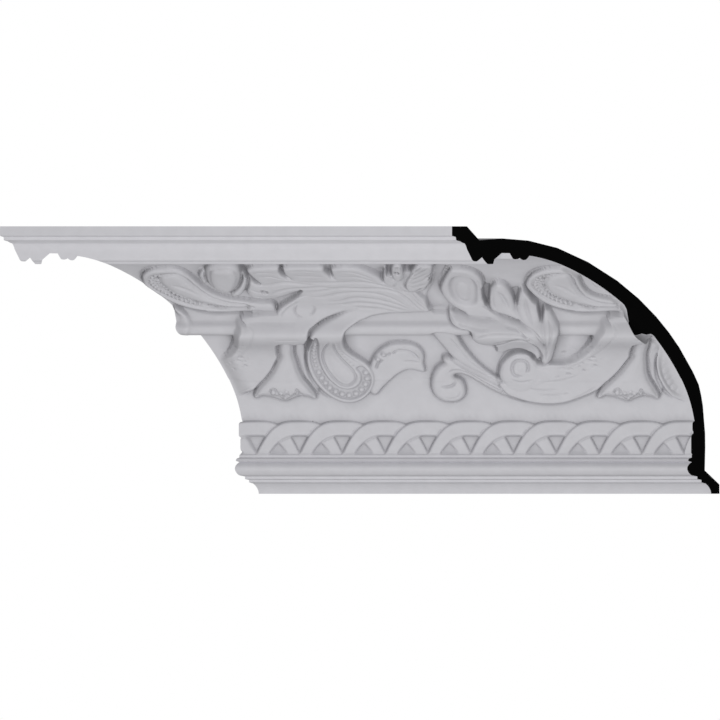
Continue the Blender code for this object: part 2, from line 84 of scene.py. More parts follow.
FOOT_MEMBERS = (
    (0.0, 2.6, 0.0, 1),
    (-2.6, 0.9, 0.0, 1),
    (-1.4, 2.5, 0.3, 2),
    (1.2, 0.7, 0.0, 1),
    (2.9, 1.0, 0.0, 1),
    (-1.4, 14.0, 4.4, 14),
    (1.7, 0.9, 0.0, 1),
    (5.9, 1.2, 0.0, 1),
    (0.1, 2.9, 0.0, 1),
    (4.5, 0.9, 0.0, 1),
    (0.1, 2.8, 0.0, 1),
    (4.4, 1.2, 0.0, 1),
    (6.2, 9.4, -1.0, 8),
    (0.2, 2.2, 0.0, 1),
)


def on_circle(centre, radius, angle):
    return (centre[0] - radius * cos(radians(angle)), centre[1] + radius * sin(radians(angle)))


def run_members(start, members):
    """The corners of a run of plain members; a bulge makes a member round, or hollow below 0."""
    points = [start]
    for back, drop, bulge, steps in members:
        here = points[-1]
        chord = hypot(back, drop)
        for step in range(1, steps + 1):
            share = step / steps
            lift = 4 * bulge * share * (1 - share)
            points.append((here[0] - back * share + drop / chord * lift,
                           here[1] - drop * share - back / chord * lift))
    return points


cove_points = []
cove_normals = []
for centre, radius, first, last in COVE_ARCS:
    for angle in np.linspace(first, last, ARC_STEPS):
        cove_points.append(on_circle(centre, radius, angle))
        cove_normals.append((cos(radians(angle)), -sin(radians(angle))))
cove_foot = cove_points[-1]
for share in np.linspace(BAND_START, 1.0, BAND_STEPS):
    ease = min(1.0, share / BAND_EASE)
    cove_points.append((cove_foot[0] + (BAND_GROUND - cove_foot[0]) * ease,
                        cove_foot[1] + (BAND_FLARE[0][1] - cove_foot[1]) * share))
cove_points += BAND_FLARE[1:]
cove_normals += [(1.0, 0.0)] * (len(cove_points) - len(cove_normals))
cove_points = np.array(cove_points)
cove_normals = np.array(cove_normals)
cove_travel = np.concatenate(([0.0], np.cumsum(np.hypot(*np.diff(cove_points, axis=0).T))))
foot_points = run_members(BAND_FLARE[-1], FOOT_MEMBERS)
top_points = run_members((PROJECTION, DROP), TOP_MEMBERS)

# The carved front
# The foliage is cast with the cove, so it is one sheet of heights over the cove: a grid that runs
# along the length and down the cove. Each shape is drawn in the front elevation, in millimetres
# from the left end and from the bottom edge, and is set on the cove where the eye sees it there.
LENGTH = 507.3
ELEVATION_ORIGIN = 553.25
CELL = 1.0
# the rows are wider apart on the steep part, which the eye sees nearly edge on
STEEP_PART = 150.0
STEEP_ROWS = 1.5
LOWER_ROWS = 1.12
# the carving repeats, wider the further it stands out from the wall
COPIES = (-1, 0, 1)
REPEAT_AT_WALL = 370.0
REPEAT_FAN = 0.415
# the rib across the cove: places down from its crest, and its height there as a share
RIB_HEIGHT = 17.8
RIB_ANGLE = 42.5
RIB_STATIONS = (-28.8, -22.5, -18.0, -12.1, -10.9, -9.9, -8.2, -5.4, -2.2, 0.6, 3.2, 5.4, 7.2, 8.4,
                13.4, 15.4, 18.4)
RIB_HEIGHTS = (0.0, 0.14, 0.34, 0.56, 0.62, 0.74, 0.86, 0.95, 1.0, 1.0, 0.95, 0.86, 0.72, 0.51,
               0.31, 0.08, 0.0)
# the swelling of the foliage over the rib: how far above the crest it peaks, how far it spreads
HUMP_ABOVE = 1.0
HUMP_UPWARDS = 15.0
HUMP_DOWNWARDS = 28.0
CURVE_STEPS = 8
NO_LENGTH = 1e-12
# how much of what stands beside a shape is shaved off at its foot
SHAVED = 2.5
# how quickly a line thins towards its ends, and how wide it still is there
THINNING = 0.6
TIP_WIDTH = 0.35

row_travel = np.concatenate((np.arange(0, STEEP_PART, CELL * STEEP_ROWS),
                             np.linspace(STEEP_PART, cove_travel[-1],
                                         int((cove_travel[-1] - STEEP_PART) / CELL / LOWER_ROWS))))
rows = len(row_travel)
columns = int(LENGTH / CELL) + 1
down, along = np.meshgrid(row_travel, np.linspace(-LENGTH / 2, LENGTH / 2, columns),
                          indexing="ij")
rib_crest = on_circle(COVE_ARCS[1][0], COVE_ARCS[1][1], RIB_ANGLE)[1]
crest_travel = np.interp(-rib_crest, -cove_points[:, 1], cove_travel)


def on_cove(travel):
    """Depth, height and the two parts of the normal, where the way down the cove is travel."""
    return [np.interp(travel, cove_travel, part) for part in
            (*cove_points.T, *cove_normals.T)]


def hump_at(travel):
    """The soft swelling with which the foliage rides over the rib."""
    off = travel - crest_travel + HUMP_ABOVE
    return RIB_HEIGHT * np.exp(-(off / np.where(off < 0, HUMP_UPWARDS, HUMP_DOWNWARDS)) ** 2)


cove_depth, cove_height, normal_out, normal_up = on_cove(down)
across = along - cove_depth + ELEVATION_ORIGIN
rib = RIB_HEIGHT * np.interp(down - crest_travel, RIB_STATIONS, RIB_HEIGHTS)
hump = hump_at(down)
relief = rib.copy()


def place(points, proud, ride, copy):
    """Elevation points brought onto the cove in one of the repeats."""
    points = np.asarray(points, dtype=float)
    seen = cove_points[:, 1] + (proud + ride * hump_at(cove_travel)) * cove_normals[:, 1]
    travel = np.interp(-points[:, 1], -np.minimum.accumulate(seen), cove_travel)
    depth = on_cove(travel)[0]
    return np.column_stack((points[:, 0] + copy * (REPEAT_AT_WALL + REPEAT_FAN * depth), travel))


def curve_through(points, closed):
    """A Catmull-Rom curve through the points."""
    if closed:
        points = np.vstack((points[-1:], points, points[:2]))
    else:
        points = np.vstack((2 * points[:1] - points[1:2], points, 2 * points[-1:] - points[-2:-1]))
    share = (np.arange(CURVE_STEPS) / CURVE_STEPS)[:, None]
    pieces = []
    for a, b, c, d in zip(points[:-3], points[1:-2], points[2:-1], points[3:]):
        pieces.append(b + 0.5 * share * (c - a + share * (2 * a - 5 * b + 4 * c - d
                      + share * (3 * (b - c) + d - a))))
    if not closed:
        pieces.append(points[-2:-1])
    return np.vstack(pieces)


def window(path, margin):
    """The part of the grid that a path can reach, as two slices."""
    low = path.min(axis=0) - margin
    high = path.max(axis=0) + margin
    row = np.searchsorted(down[:, 0], (low[1], high[1]))
    near = (across[row[0]:row[1]] > low[0]) & (across[row[0]:row[1]] < high[0])
    if not near.any():
        return None
    column = np.flatnonzero(near.any(axis=0))
    return slice(*row), slice(column[0], column[-1] + 1)


def each_copy(points, proud, ride, closed, margin):
    """The path of a drawn shape in each repeat that shows, with the part of the grid it reaches."""
    for copy in COPIES:
        path = curve_through(place(points, proud, ride, copy), closed)
        spots = window(path, margin)
        if spots is not None:
            yield path, spots


def measure(spots, path, closed):
    """Distance from the grid to a path, and how far along the path its nearest point is."""
    x = across[spots]
    y = down[spots]
    ends = np.roll(path, -1, axis=0) if closed else path[1:]
    best = np.full(x.shape, np.inf)
    share_along = np.zeros(x.shape)
    for number, ((ax, ay), (bx, by)) in enumerate(zip(path, ends)):
        dx = bx - ax
        dy = by - ay
        share = np.clip(((x - ax) * dx + (y - ay) * dy) / (dx * dx + dy * dy + NO_LENGTH), 0, 1)
        away = (x - ax - share * dx) ** 2 + (y - ay - share * dy) ** 2
        closer = away < best
        best = np.where(closer, away, best)
        share_along = np.where(closer, (number + share) / len(ends), share_along)
    return np.sqrt(best), share_along


def measure_inside(spots, path):
    """Distance to a closed path, positive inside it."""
    x = across[spots]
    y = down[spots]
    inside = np.zeros(x.shape, dtype=bool)
    for (ax, ay), (bx, by) in zip(path, np.roll(path, -1, axis=0)):
        if ay != by:
            inside ^= ((ay > y) != (by > y)) & (x < (bx - ax) * (y - ay) / (by - ay) + ax)
    away = measure(spots, path, True)[0]
    return np.where(inside, away, -away)


def smooth(share):
    """A share between 0 and 1 with soft ends."""
    share = np.clip(share, 0, 1)
    return share * share * (3 - 2 * share)


def raise_shape(outline, top, edge=4.0, dome=0.0, width=10.0, ride=0.0, moat=3.0, groove=1.5,
                seat=None, join=False, sloped=False):
    """Raise what lies inside an outline, with a rounded edge and a domed middle, in a groove."""
    proud = top if seat is None else seat
    for path, spots in each_copy(outline, proud, ride, True, edge + moat):
        depth = measure_inside(spots, path)
        climb = np.clip(depth / edge + 0.5, 0, 1)
        wall = climb if sloped else np.sqrt(1 - (1 - climb) ** 2)
        middle = np.clip((depth - edge * 0.5) / width, 0, 1)
        raised = ride * hump[spots] + top * wall + dome * np.sqrt(1 - (1 - middle) ** 2)
        ground = relief[spots]
        if join:
            relief[spots] = np.where(depth > -edge / 2, np.maximum(ground, raised), ground)
            continue
        near = smooth(1 + (depth + edge / 2) / moat)
        ground = ground - near * (np.clip(ground, 0, SHAVED) + groove)
        relief[spots] = np.where(depth > -edge / 2, raised - groove * (1 - wall), ground)


def draw_line(line, half_width, lift, proud, ride=0.0, taper=0.0):
    """Lift a rounded line, or cut it when the lift is below 0; it can thin towards its ends."""
    for path, spots in each_copy(line, proud, ride, False, half_width + 1):
        off, share = measure(spots, path, False)
        reach = half_width
        strength = 1.0
        if taper:
            strength = np.clip(np.minimum(share, 1 - share) / taper, 0, 1) ** THINNING
            reach = half_width * (TIP_WIDTH + (1 - TIP_WIDTH) * strength)
        relief[spots] += lift * (np.clip(1 - (off / reach) ** 2, 0, 1) * strength)


def sink_pit(outline, floor, edge=2.5, proud=6.0, ride=0.0):
    """Cut down to a floor inside an outline."""
    for path, spots in each_copy(outline, proud, ride, True, edge):
        share = smooth(measure_inside(spots, path) / edge + 0.5)
        cut = np.minimum(relief[spots], floor + ride * hump[spots])
        relief[spots] += (cut - relief[spots]) * share


# Acanthus leaf
# It springs from the bud and sweeps over the middle of each repeat. Two deep notches part its top
# edge into three lobes, and long veins run down to the ruffle at its right.
for lobe in ([(278, 248), (281, 251), (290, 251.8), (311, 251.8), (313.5, 247.5), (318, 243.5),
              (330, 240), (330, 230), (300, 233), (291, 236), (285, 240.5)],
             [(317.5, 250), (322, 252), (350, 252.3), (361, 251.5), (364, 247), (369.5, 243),
              (382, 240), (380, 230), (330, 230), (326, 240), (320, 244.5)],
             [(372, 250.5), (385, 252), (400, 251), (412, 247), (424, 241.5), (431, 237.5),
              (446, 232), (446, 222), (380, 228), (376, 238), (372.5, 244)]):
    raise_shape(lobe, 7.0, edge=3.5, dome=1.0, width=8)
raise_shape([(279, 236), (290, 238), (304, 241), (330, 241.5), (375, 242), (410, 240),
             (430, 236), (455, 229), (472, 218.5), (484, 205.5), (460, 203), (436, 202),
             (418, 199.5), (404, 195.5), (390, 203), (372, 202), (352, 205), (340, 213),
             (337, 222), (332, 226), (320, 222), (306, 218.5), (290, 218), (281, 221),
             (277.5, 228)],
            6.5, edge=4, dome=2.5, width=22, ride=0.75, join=True)
for line in ([(324, 238.5), (350, 237), (372, 237), (405, 237.5), (430, 233), (447, 228.5)],
             [(284, 234), (300, 234.5), (318, 237), (340, 235.5), (362, 235)],
             [(300, 222.5), (308, 226.5), (320, 229.5), (338, 231), (360, 232.5), (375, 231)],
             [(340, 226), (360, 228.5), (380, 231.5), (405, 230.8), (428, 230), (448, 224.5),
              (466, 213)],
             [(346, 221), (362, 222), (385, 226), (410, 226.5), (434, 222), (458, 210.5)],
             [(362, 216.5), (380, 217), (396, 220.5), (416, 219.5), (440, 214.5), (460, 206.5)],
             [(352, 211), (368, 212), (384, 213), (402, 215), (424, 213), (446, 207.5), (460, 205)],
             [(372, 206), (388, 208), (404, 209.5), (424, 207.5), (446, 203.5)]):
    draw_line(line, 2.6, -1.2, 7.5, ride=0.75, taper=0.3)
for line in ([(281, 246), (290, 248), (312, 247)], [(286, 242), (300, 243.5), (316, 240.5)],
             [(322, 249), (340, 249.5), (361, 248)], [(328, 244.5), (345, 244), (366, 243.5)],
             [(377, 248), (395, 248), (420, 240)], [(380, 243), (400, 243), (424, 236.5)],
             [(281, 229), (288, 226.5), (296, 226.5)], [(284, 222), (298, 220), (312, 223)]):
    draw_line(line, 2.0, -0.7, 7.5, taper=0.3)
for pit in ([(312, 258), (315.5, 258), (316.8, 251.5), (319, 246.8), (323.5, 243), (318, 244.3),
             (314, 248.5)],
            [(363.5, 258), (369.5, 258), (370.4, 252), (372.8, 245), (369.5, 247), (366, 252)],
            [(423, 246.5), (427, 248.5), (431.5, 249), (432, 240), (430, 238.5), (427, 242)],
            [(307, 213), (314, 218), (323, 221.3), (332, 225.3), (338, 229.5), (336, 224.5),
             (328, 220), (319, 214.5), (312.5, 207), (309, 202)]):
    sink_pit(pit, -1.0, edge=2.6, proud=6.0)
sink_pit([(294, 228.5), (299, 228), (299, 225.5), (294, 225.5)], 4.0, edge=1.8, proud=7.0)

# Ruffle and eye
# The end of the acanthus leaf curls into a knob with a small eye and a frilled lobe.
raise_shape([(431, 245), (433, 247.5), (437, 245), (440, 241), (444, 237), (440, 232),
             (431, 236)],
            9.0, edge=2.5, dome=0.5, width=4, join=True)
raise_shape([(438, 244), (444, 249.5), (456, 248.5), (470, 248), (480, 240), (476, 228),
             (455, 226), (440, 232)],
            7.5, edge=3, dome=0.8, width=8, join=True)
raise_shape([(439.5, 250), (441, 255), (449, 255), (452, 251), (452, 243), (448, 238),
             (443, 239), (440, 243.5)],
            10.0, edge=2.5, dome=0.8, width=5, join=True)
sink_pit([(443.8, 248.6), (446.2, 248.6), (446.6, 246.6), (445, 245.8), (443.4, 246.6)], 5.0,
         edge=1.6, proud=10.0)
draw_line([(450.3, 240), (450.6, 247), (450.3, 254)], 1.5, 0.9, 10.0, taper=0.2)
raise_shape([(460, 246), (463, 250), (467, 254), (477, 254.5), (484, 253.5), (485, 249.5),
             (483, 246), (479, 242.5), (483.5, 241.5), (482.5, 237.5), (479.5, 232.5),
             (476, 230), (472, 229.5), (466, 226.5), (459, 226), (455.5, 229), (454, 235),
             (456, 241)],
            10.0, edge=2.5, dome=1.5, width=8, join=True)
draw_line([(463, 248.5), (459, 244.5), (455.5, 239), (454, 233), (456.5, 228.5), (462, 225.8),
           (468, 227.5), (475, 230.5)], 1.3, -1.8, 9.5, taper=0.1)
for line in ([(458, 231), (468, 233), (480, 237)], [(457, 234.5), (468, 238), (482, 243)],
             [(458.5, 238.5), (468, 243), (484, 249.5)], [(461, 243), (470, 248), (481, 253.5)],
             [(463, 247.5), (468, 251), (473, 254)], [(442, 251.5), (447, 253), (449, 250)],
             [(434, 244), (438, 240.5), (441, 236)]):
    draw_line(line, 1.3, -1.0, 11.0, taper=0.25)
for line in ([(446, 233), (458, 223), (470, 211.5), (478.5, 205.5)],
             [(450, 236.5), (461, 225.5), (472, 214.5), (481, 206.5)],
             [(438, 231), (452, 222), (464, 212), (472, 205)]):
    draw_line(line, 1.8, -1.1, 8.0, ride=0.5, taper=0.3)
for pit in ([(453.5, 258), (460.5, 258), (459.5, 252), (457, 249.5), (454, 251.5)],
            [(432.5, 251), (437.5, 251), (438, 246.5), (434.5, 246)],
            [(485, 250), (488, 247), (487, 243.5), (483, 242.3), (481.5, 243.6), (484, 246)],
            [(480.5, 235), (483.5, 237), (484, 233), (481.5, 229.5), (479.5, 230.5)]):
    sink_pit(pit, -2.0, edge=1.8, proud=6.0)
sink_pit([(481, 229), (486.5, 240), (488, 256), (499.5, 256), (495.5, 246), (493.5, 236),
          (495.5, 226), (501, 217), (504, 210), (485, 210), (479.5, 216), (478.5, 223)],
         -2.5, edge=2.0, proud=0.0)
draw_line([(485, 204.6), (494, 204.6), (503.5, 204.6)], 1.6, -2.0, 4.0)

# Spoon lobe and palmette
# Right of the ruffle a hollow spoon-shaped lobe leads three rounded lobes, cut apart by deep
# gaps. They ride over the rib and run together into one stem above the volute.
raise_shape([(505, 204), (512, 200.5), (530, 201.5), (552, 203.5), (575, 195.5), (600, 180.5),
             (611, 165), (612, 150), (603, 154), (598, 164), (586, 170), (568, 168.5),
             (551, 166), (538, 167.5), (531, 172), (529, 180.5), (516, 185), (508.5, 190),
             (505.5, 196)],
            5.5, edge=3.5, dome=2.5, width=12, ride=1.0, groove=0.6)
raise_shape([(503.5, 247.5), (507, 250), (516, 250), (527, 248), (536, 243), (540.5, 236),
             (541, 228), (541, 218), (543.5, 211), (551, 204), (545, 199), (532, 200.5), (520, 204),
             (510, 209.5), (503, 215), (497, 222.5), (495, 230), (498, 238)],
            5.8, edge=2.8, dome=1.0, width=4, ride=0.96, groove=2.2)
draw_line([(475.8, 221), (478.3, 216.7), (482, 209.5), (486, 204.8), (493.3, 203.9), (502, 204.5)],
          1.2, -1.3, 0.5, ride=1.0, taper=0.1)
sink_pit([(504.5, 229), (505, 237), (510, 242.5), (520, 243), (529, 239.5), (534, 232), (535, 222),
          (533, 214), (526, 211.5), (516, 213.5), (509, 219)],
         2.4, edge=6, proud=6.0, ride=0.35)
raise_shape([(508, 229), (509, 236), (514, 239), (521, 238.5), (528, 233.5), (529.5, 224),
             (526, 216.5), (517, 217), (511, 222)],
            1.8, edge=5, dome=2.8, width=15, ride=0.35, join=True)
raise_shape([(522, 206), (534, 212), (541, 215), (544, 209.5), (552, 205), (562, 201), (556, 196),
             (542, 194), (528, 197)],
            6.8, edge=6, ride=0.92, join=True)
draw_line([(535, 238), (537.5, 229), (537, 216)], 1.4, -1.2, 9.0, ride=0.2, taper=0.2)
sink_pit([(503.5, 207.5), (508, 207.8), (516, 204.8), (524, 201.8), (516, 203), (508, 205)],
         -1.0, edge=1.4, proud=6.0, ride=0.3)
raise_shape([(549, 212), (549.5, 222), (552, 229), (557, 233), (562, 232.5), (567.5, 229),
             (572, 223), (575.5, 215), (578, 206), (584, 195), (570, 198), (553, 204.5)],
            8.0, edge=4, dome=1.5, width=7, ride=1.0, moat=2.0, groove=0.8)
draw_line([(557, 227), (562, 222), (566.5, 215), (571, 206)], 3.2, -1.8, 9.0, ride=1.0, taper=0.3)
draw_line([(553.5, 225), (553, 215), (556, 206)], 1.3, -0.7, 9.0, ride=1.0, taper=0.3)
raise_shape([(580, 211), (581.5, 219), (584.5, 223.5), (588.5, 225.5), (593.5, 222), (599, 215.5),
             (603, 208), (605.5, 197), (610, 182), (611, 166), (601, 177), (590, 187), (582, 197)],
            8.5, edge=5, dome=1.5, width=7, ride=1.0, join=True)
draw_line([(588.5, 221), (590, 211), (592.5, 202), (597, 190)], 2.8, -1.6, 9.0, ride=1.0, taper=0.3)
raise_shape([(607.5, 197), (608.5, 203.5), (611, 206), (615, 203), (619.5, 196), (623, 188.5),
             (625.5, 181), (624, 171), (621, 160), (617.5, 150), (612, 145), (608, 150),
             (611.5, 164), (609, 176)],
            8.5, edge=4, dome=1.5, width=6, ride=1.0, join=True)
draw_line([(615, 197), (617.5, 186), (617, 170), (613, 157)], 2.2, -1.6, 8.0, ride=1.0, taper=0.3)
sink_pit([(541, 229), (545, 231), (549, 230.5), (548.6, 222), (548.6, 214), (549.5, 209.5),
          (546, 210.5), (543, 217)], -5.0, edge=1.8, proud=5.0, ride=0.2)
for pit in ([(574.5, 226), (581.5, 227.5), (580.5, 219), (579, 213), (577.3, 217), (576, 222)],
            [(586, 230), (592, 231), (598, 224), (605, 216.5), (603.5, 213), (598, 217.5),
             (592, 225), (588, 228)],
            [(603, 214), (610, 211), (609, 205), (607, 198), (605, 203), (603.6, 208)]):
    sink_pit(pit, -2.5, edge=2.4, proud=5.0, ride=0.4)
draw_line([(541, 209), (546, 206.5), (555, 203.8), (565, 200.5), (575, 195.5), (588, 188),
           (600, 179.5), (608, 171), (611.5, 161), (611, 149)],
          1.6, -1.6, 8.0, ride=1.0, taper=0.06)
for line in ([(519, 197.5), (530, 197), (545, 196), (560, 194.5)],
             [(512, 190), (522, 186), (535, 184), (548, 183.5)],
             [(566, 188), (583, 181), (598, 169)],
             [(533, 174), (545, 177.5), (565, 178.5), (585, 177), (599, 171)],
             [(552, 167.5), (562, 170), (582, 172.8), (600, 169)]):
    draw_line(line, 1.6, -1.7, 7.0, ride=1.0, taper=0.15)
raise_shape([(553, 164), (562, 167), (574, 171), (588, 171), (600, 165), (606, 155),
             (601, 151), (594, 158.8), (584, 162.8), (573, 162), (563, 158.5), (555, 160)],
            5.5, edge=2.5, dome=0.5, width=4, ride=1.0, moat=2.0, groove=0.5)
sink_pit([(551.5, 168), (556.5, 168.5), (556.5, 162), (553.5, 161.5)], -2.0, edge=1.8, proud=5.0,
         ride=0.1)

# Bud
# A smooth round bud hangs between the paisley leaf and the acanthus, with a small petal on its
# left and two folds of its husk on its right.
raise_shape([(224, 243), (226, 247), (231.5, 248.5), (236, 245), (234, 236), (228, 236.5)],
            6.0, edge=2.5, dome=0.8, width=4, moat=2.0, groove=0.5)
draw_line([(226.5, 244), (230, 240), (232, 236)], 1.4, 1.0, 6.0, taper=0.3)
raise_shape([(261, 246), (268, 248), (274, 246.5), (276.5, 241), (276, 233), (272, 224.5),
             (266, 221.5), (260, 223)],
            7.0, edge=3, dome=0.8, width=5)
draw_line([(271.5, 248), (271.5, 240), (268.5, 233), (264.5, 227)], 1.6, -2.4, 8.0, taper=0.15)
draw_line([(262.5, 231), (262, 226), (261, 221.5)], 1.3, -1.6, 8.0, taper=0.3)
raise_shape([(232.5, 248), (236, 251.5), (245, 252.5), (257, 252.3), (264.5, 250), (268, 245),
             (267.5, 238), (264, 230), (257, 225), (247, 226), (238, 231), (233.5, 239)],
            9.0, edge=6, dome=4.0, width=10.5, groove=0.8)
sink_pit([(269, 252.5), (272, 252), (277, 248), (283, 243), (291.5, 236.5), (287, 236.5),
          (280, 239.5), (276, 243), (271.5, 247)], -5.0, edge=2.0, proud=6.0)

# Paisley leaf
# A large leaf with a rounded head and a long tail. Its rim is smooth, beads run in rows inside it,
# and a smooth drop fills the middle.

def set_beads(line, radius, gap, proud, ride=0.0, flat=1.0):
    """Round beads in a row along a line."""
    for path, _ in each_copy(line, proud, ride, False, radius):
        travel = np.concatenate(([0.0], np.cumsum(np.hypot(*np.diff(path, axis=0).T))))
        count = max(2, int(round(travel[-1] / (2 * radius + gap))))
        for mark in np.linspace(0, travel[-1], count):
            spot = np.array([np.interp(mark, travel, part) for part in path.T])
            patch = window(np.array([spot, spot]), radius)
            if patch is None:
                continue
            off = np.hypot(across[patch] - spot[0], down[patch] - spot[1])
            seat = np.median(relief[patch])
            bead = seat + flat * np.sqrt(np.clip(radius ** 2 - off ** 2, 0, None))
            relief[patch] = np.where(off < radius, np.maximum(relief[patch], bead), relief[patch])


raise_shape([(591, 232), (592.5, 238), (597, 243.5), (605, 247.5), (614, 249.5), (630, 250.3),
             (640, 249.5), (646, 244), (649.5, 236.5), (653, 229.5), (659, 223.5), (668, 219),
             (682, 216), (702, 213), (720, 212), (720, 204.5), (700, 204.5), (676, 204),
             (652, 203.5), (634, 206), (616, 211.5), (604, 218.5), (595.5, 226)],
            5.2, edge=3.2, dome=0.6, width=3, ride=0.45, groove=2.2)
sink_pit([(596.5, 233), (598.5, 239), (605, 243.8), (614, 246), (630, 247), (638.5, 246),
          (642.5, 241.5), (645.5, 234), (650, 226), (656, 220.5), (666, 215.5), (682, 212.5),
          (700, 210), (690, 208.8), (668, 208), (652, 207), (635, 209.6), (618, 215), (606, 222)],
         3.9, edge=2.2, proud=5.2, ride=0.38)
raise_shape([(611, 236), (614, 243), (622, 245.5), (634, 245.8), (640, 241.5), (643.5, 234),
             (649, 226), (657, 219), (672, 213.5), (690, 211), (688, 209), (668, 209.5),
             (650, 212.5), (634, 217.5), (618, 225)],
            4.2, edge=3.8, dome=2.2, width=9, ride=0.38, groove=0.3)
draw_line([(622, 232), (632, 228.5), (646, 220)], 3.0, -1.0, 8.0, ride=0.3, taper=0.3)
set_beads([(640, 210.8), (628, 214), (617, 218.6), (608.5, 223.8), (601.5, 229.5), (600, 235),
           (603.5, 239.8), (610, 242.6)], 2.3, 0.7, 6.5, ride=0.3)
set_beads([(634, 214.5), (623.5, 219.2), (613.5, 225.6), (607.8, 231), (607.5, 236.5)], 2.0, 0.7,
          6.5, ride=0.3)
set_beads([(628, 244.6), (620, 244.2), (613, 241.5)], 1.7, 1.4, 6.5, ride=0.3)
set_beads([(672, 208.7), (660, 208.9), (650, 210)], 1.4, 0.6, 6.5, ride=0.3)
sink_pit([(596.5, 223.5), (604, 216.8), (612, 211.8), (620, 208.5), (632, 205.8), (646, 203.8),
          (636, 203.3), (624, 204.8), (613, 208.2), (603, 214), (596, 221)],
         -3.5, edge=1.6, proud=5.5, ride=0.25)

# Diagonal stem, curl and wave leaf
# A narrow stem slips out from under the rib and joins the scroll band. A hooked curl grows from
# its lower edge, and the wave leaf rolls over beside the comma.
raise_shape([(511, 149.5), (505, 152), (499, 151.8), (497.5, 149), (498.3, 145.5), (491.5, 140.8),
             (487, 134), (484.8, 125.5), (485, 117.5), (488.7, 110), (495.2, 105.2), (503, 103.2),
             (511.5, 103.6), (518, 106.8), (521.6, 112.5), (520.8, 120), (516.5, 127), (511, 128.8),
             (508.6, 132), (512, 134.3), (521, 133.6), (532, 128.2), (548, 118.9), (566, 110.6),
             (585, 104.8), (592, 108), (570, 120), (545, 133), (526, 143)],
            6.5, edge=3, dome=2.5, width=9)
raise_shape([(485.5, 181), (498, 164.5), (510, 151.5), (524, 142.5), (540, 134.5), (558, 125.5),
             (570, 118), (562, 126.5), (556, 130.3), (543, 139), (530, 151), (518, 165.5),
             (507, 180.5)],
            5.5, edge=2.6, dome=1.5, width=8, ride=0.3, groove=1.0)
raise_shape([(508, 150), (524, 141), (540, 133.5), (560, 123.5), (556, 119), (535, 129.5),
             (515, 139), (504, 146)],
            6.5, edge=4, dome=1.5, width=9, join=True)
draw_line([(504, 178), (512, 167.5), (526, 150.5), (545, 135.5)], 1.2, -1.0, 6.5, taper=0.2)
draw_line([(503.5, 135.5), (507, 138), (513, 138.6), (521, 136.5), (531, 131.8), (545, 123.6),
           (560, 115.8), (577, 109.6)], 1.2, -1.5, 8.5, taper=0.08)
draw_line([(494, 119.3), (502, 119.6), (508, 121.6), (512, 126)], 2.2, -2.2, 9.0, taper=0.3)
draw_line([(498, 107.5), (507, 106.4), (515, 109.8), (517.5, 116)], 1.4, -0.9, 9.0, taper=0.3)
raise_shape([(418.5, 150), (423, 156.8), (429.5, 162.3), (438, 166.4), (448, 167.6), (458, 167),
             (466, 164.6), (472, 159.6), (474.8, 153), (474.3, 146), (476, 137.2), (470, 137.6),
             (462, 139.4), (454, 138.2), (445, 133.6), (437, 127.2), (429, 119.5), (421, 111.5),
             (414, 118), (415, 138)],
            4.5, edge=2.4, dome=1.2, width=5)
draw_line([(443, 159.2), (450, 160.6), (458, 159.6), (465, 155.5), (470.5, 149.5)], 2.6, -1.6, 5.5,
          taper=0.15)
draw_line([(445.8, 162.6), (456.8, 162.6), (466.7, 158), (472, 148)], 1.5, 1.2, 5.5, taper=0.2)
draw_line([(452, 148), (460, 148.5), (472, 147)], 1.6, -1.3, 5.5, taper=0.3)
set_beads([(423.8, 151.6), (430.2, 156.8)], 2.9, 1.2, 5.0)
for x, z in ((436, 156.3), (442, 158.4), (427, 148.6)):
    draw_line([(x - 1.2, z - 1), (x + 1.2, z + 1)], 1.5, -1.9, 5.5)
draw_line([(421.8, 139.5), (422.8, 144), (425.5, 150)], 1.9, -2.6, 5.5, taper=0.2)

# Scroll band, volute and arch
# One broad stem: it leaves the volute, swings up to the right as a flat strap over the rib, and
# arches on into the next acanthus leaf.
raise_shape([(678, 190), (675, 181), (670.5, 173.5), (663, 163), (652.5, 154), (641, 147.5),
             (630, 144.5), (618, 144), (620, 137), (650, 140), (682, 165), (688, 182), (688, 190)],
            8.3, edge=6.5, ride=1.0, join=True, sloped=True)
draw_line([(561, 124), (568, 112.5), (580, 107), (592, 103.5), (605, 101.3), (620, 100.8),
           (634, 102.5), (648, 107), (664, 113.5)], 2.6, -1.6, 2.0)
raise_shape([(561, 124), (568, 112.5), (580, 107), (592, 103.5), (605, 101.3), (620, 100.8),
             (634, 102.5), (648, 107), (664, 113.5), (680, 122), (694, 133), (703, 146),
             (711, 158.5), (714, 165.5), (741, 167.5), (741, 197.5), (686, 197.5),
             (685, 188), (682, 180), (676.5, 171.5), (669, 162.5), (658, 153.5), (646, 147.5),
             (631, 144), (615, 144), (604, 140), (585, 120)],
            8.5, edge=2.6, ride=1.0, join=True)
raise_shape([(286, 197.5), (308.5, 197.5), (311.5, 203), (317, 208.5), (328, 215.5), (338, 221),
             (352, 221), (376, 214), (402, 208.5), (388, 205), (374, 200), (362, 194.5),
             (352.5, 187.5), (345.5, 180), (340.5, 167.5), (312, 167.5), (286, 168)],
            8.5, edge=2.4, ride=1.0, join=True)
draw_line([(740, 190.5), (692.5, 190.5), (691.5, 182), (686.5, 171.5), (676, 161.5), (662, 152.5),
           (645, 144), (627, 140)], 1.6, -0.7, 8.5, ride=1.0)
draw_line([(740, 171.5), (726, 171.5), (712, 171.5)], 1.4, -0.8, 8.5, ride=1.0, taper=0.1)
draw_line([(314.5, 198), (317.5, 204), (325, 210.5), (335, 216)],
          1.4, -1.0, 8.5, ride=1.0, taper=0.1)
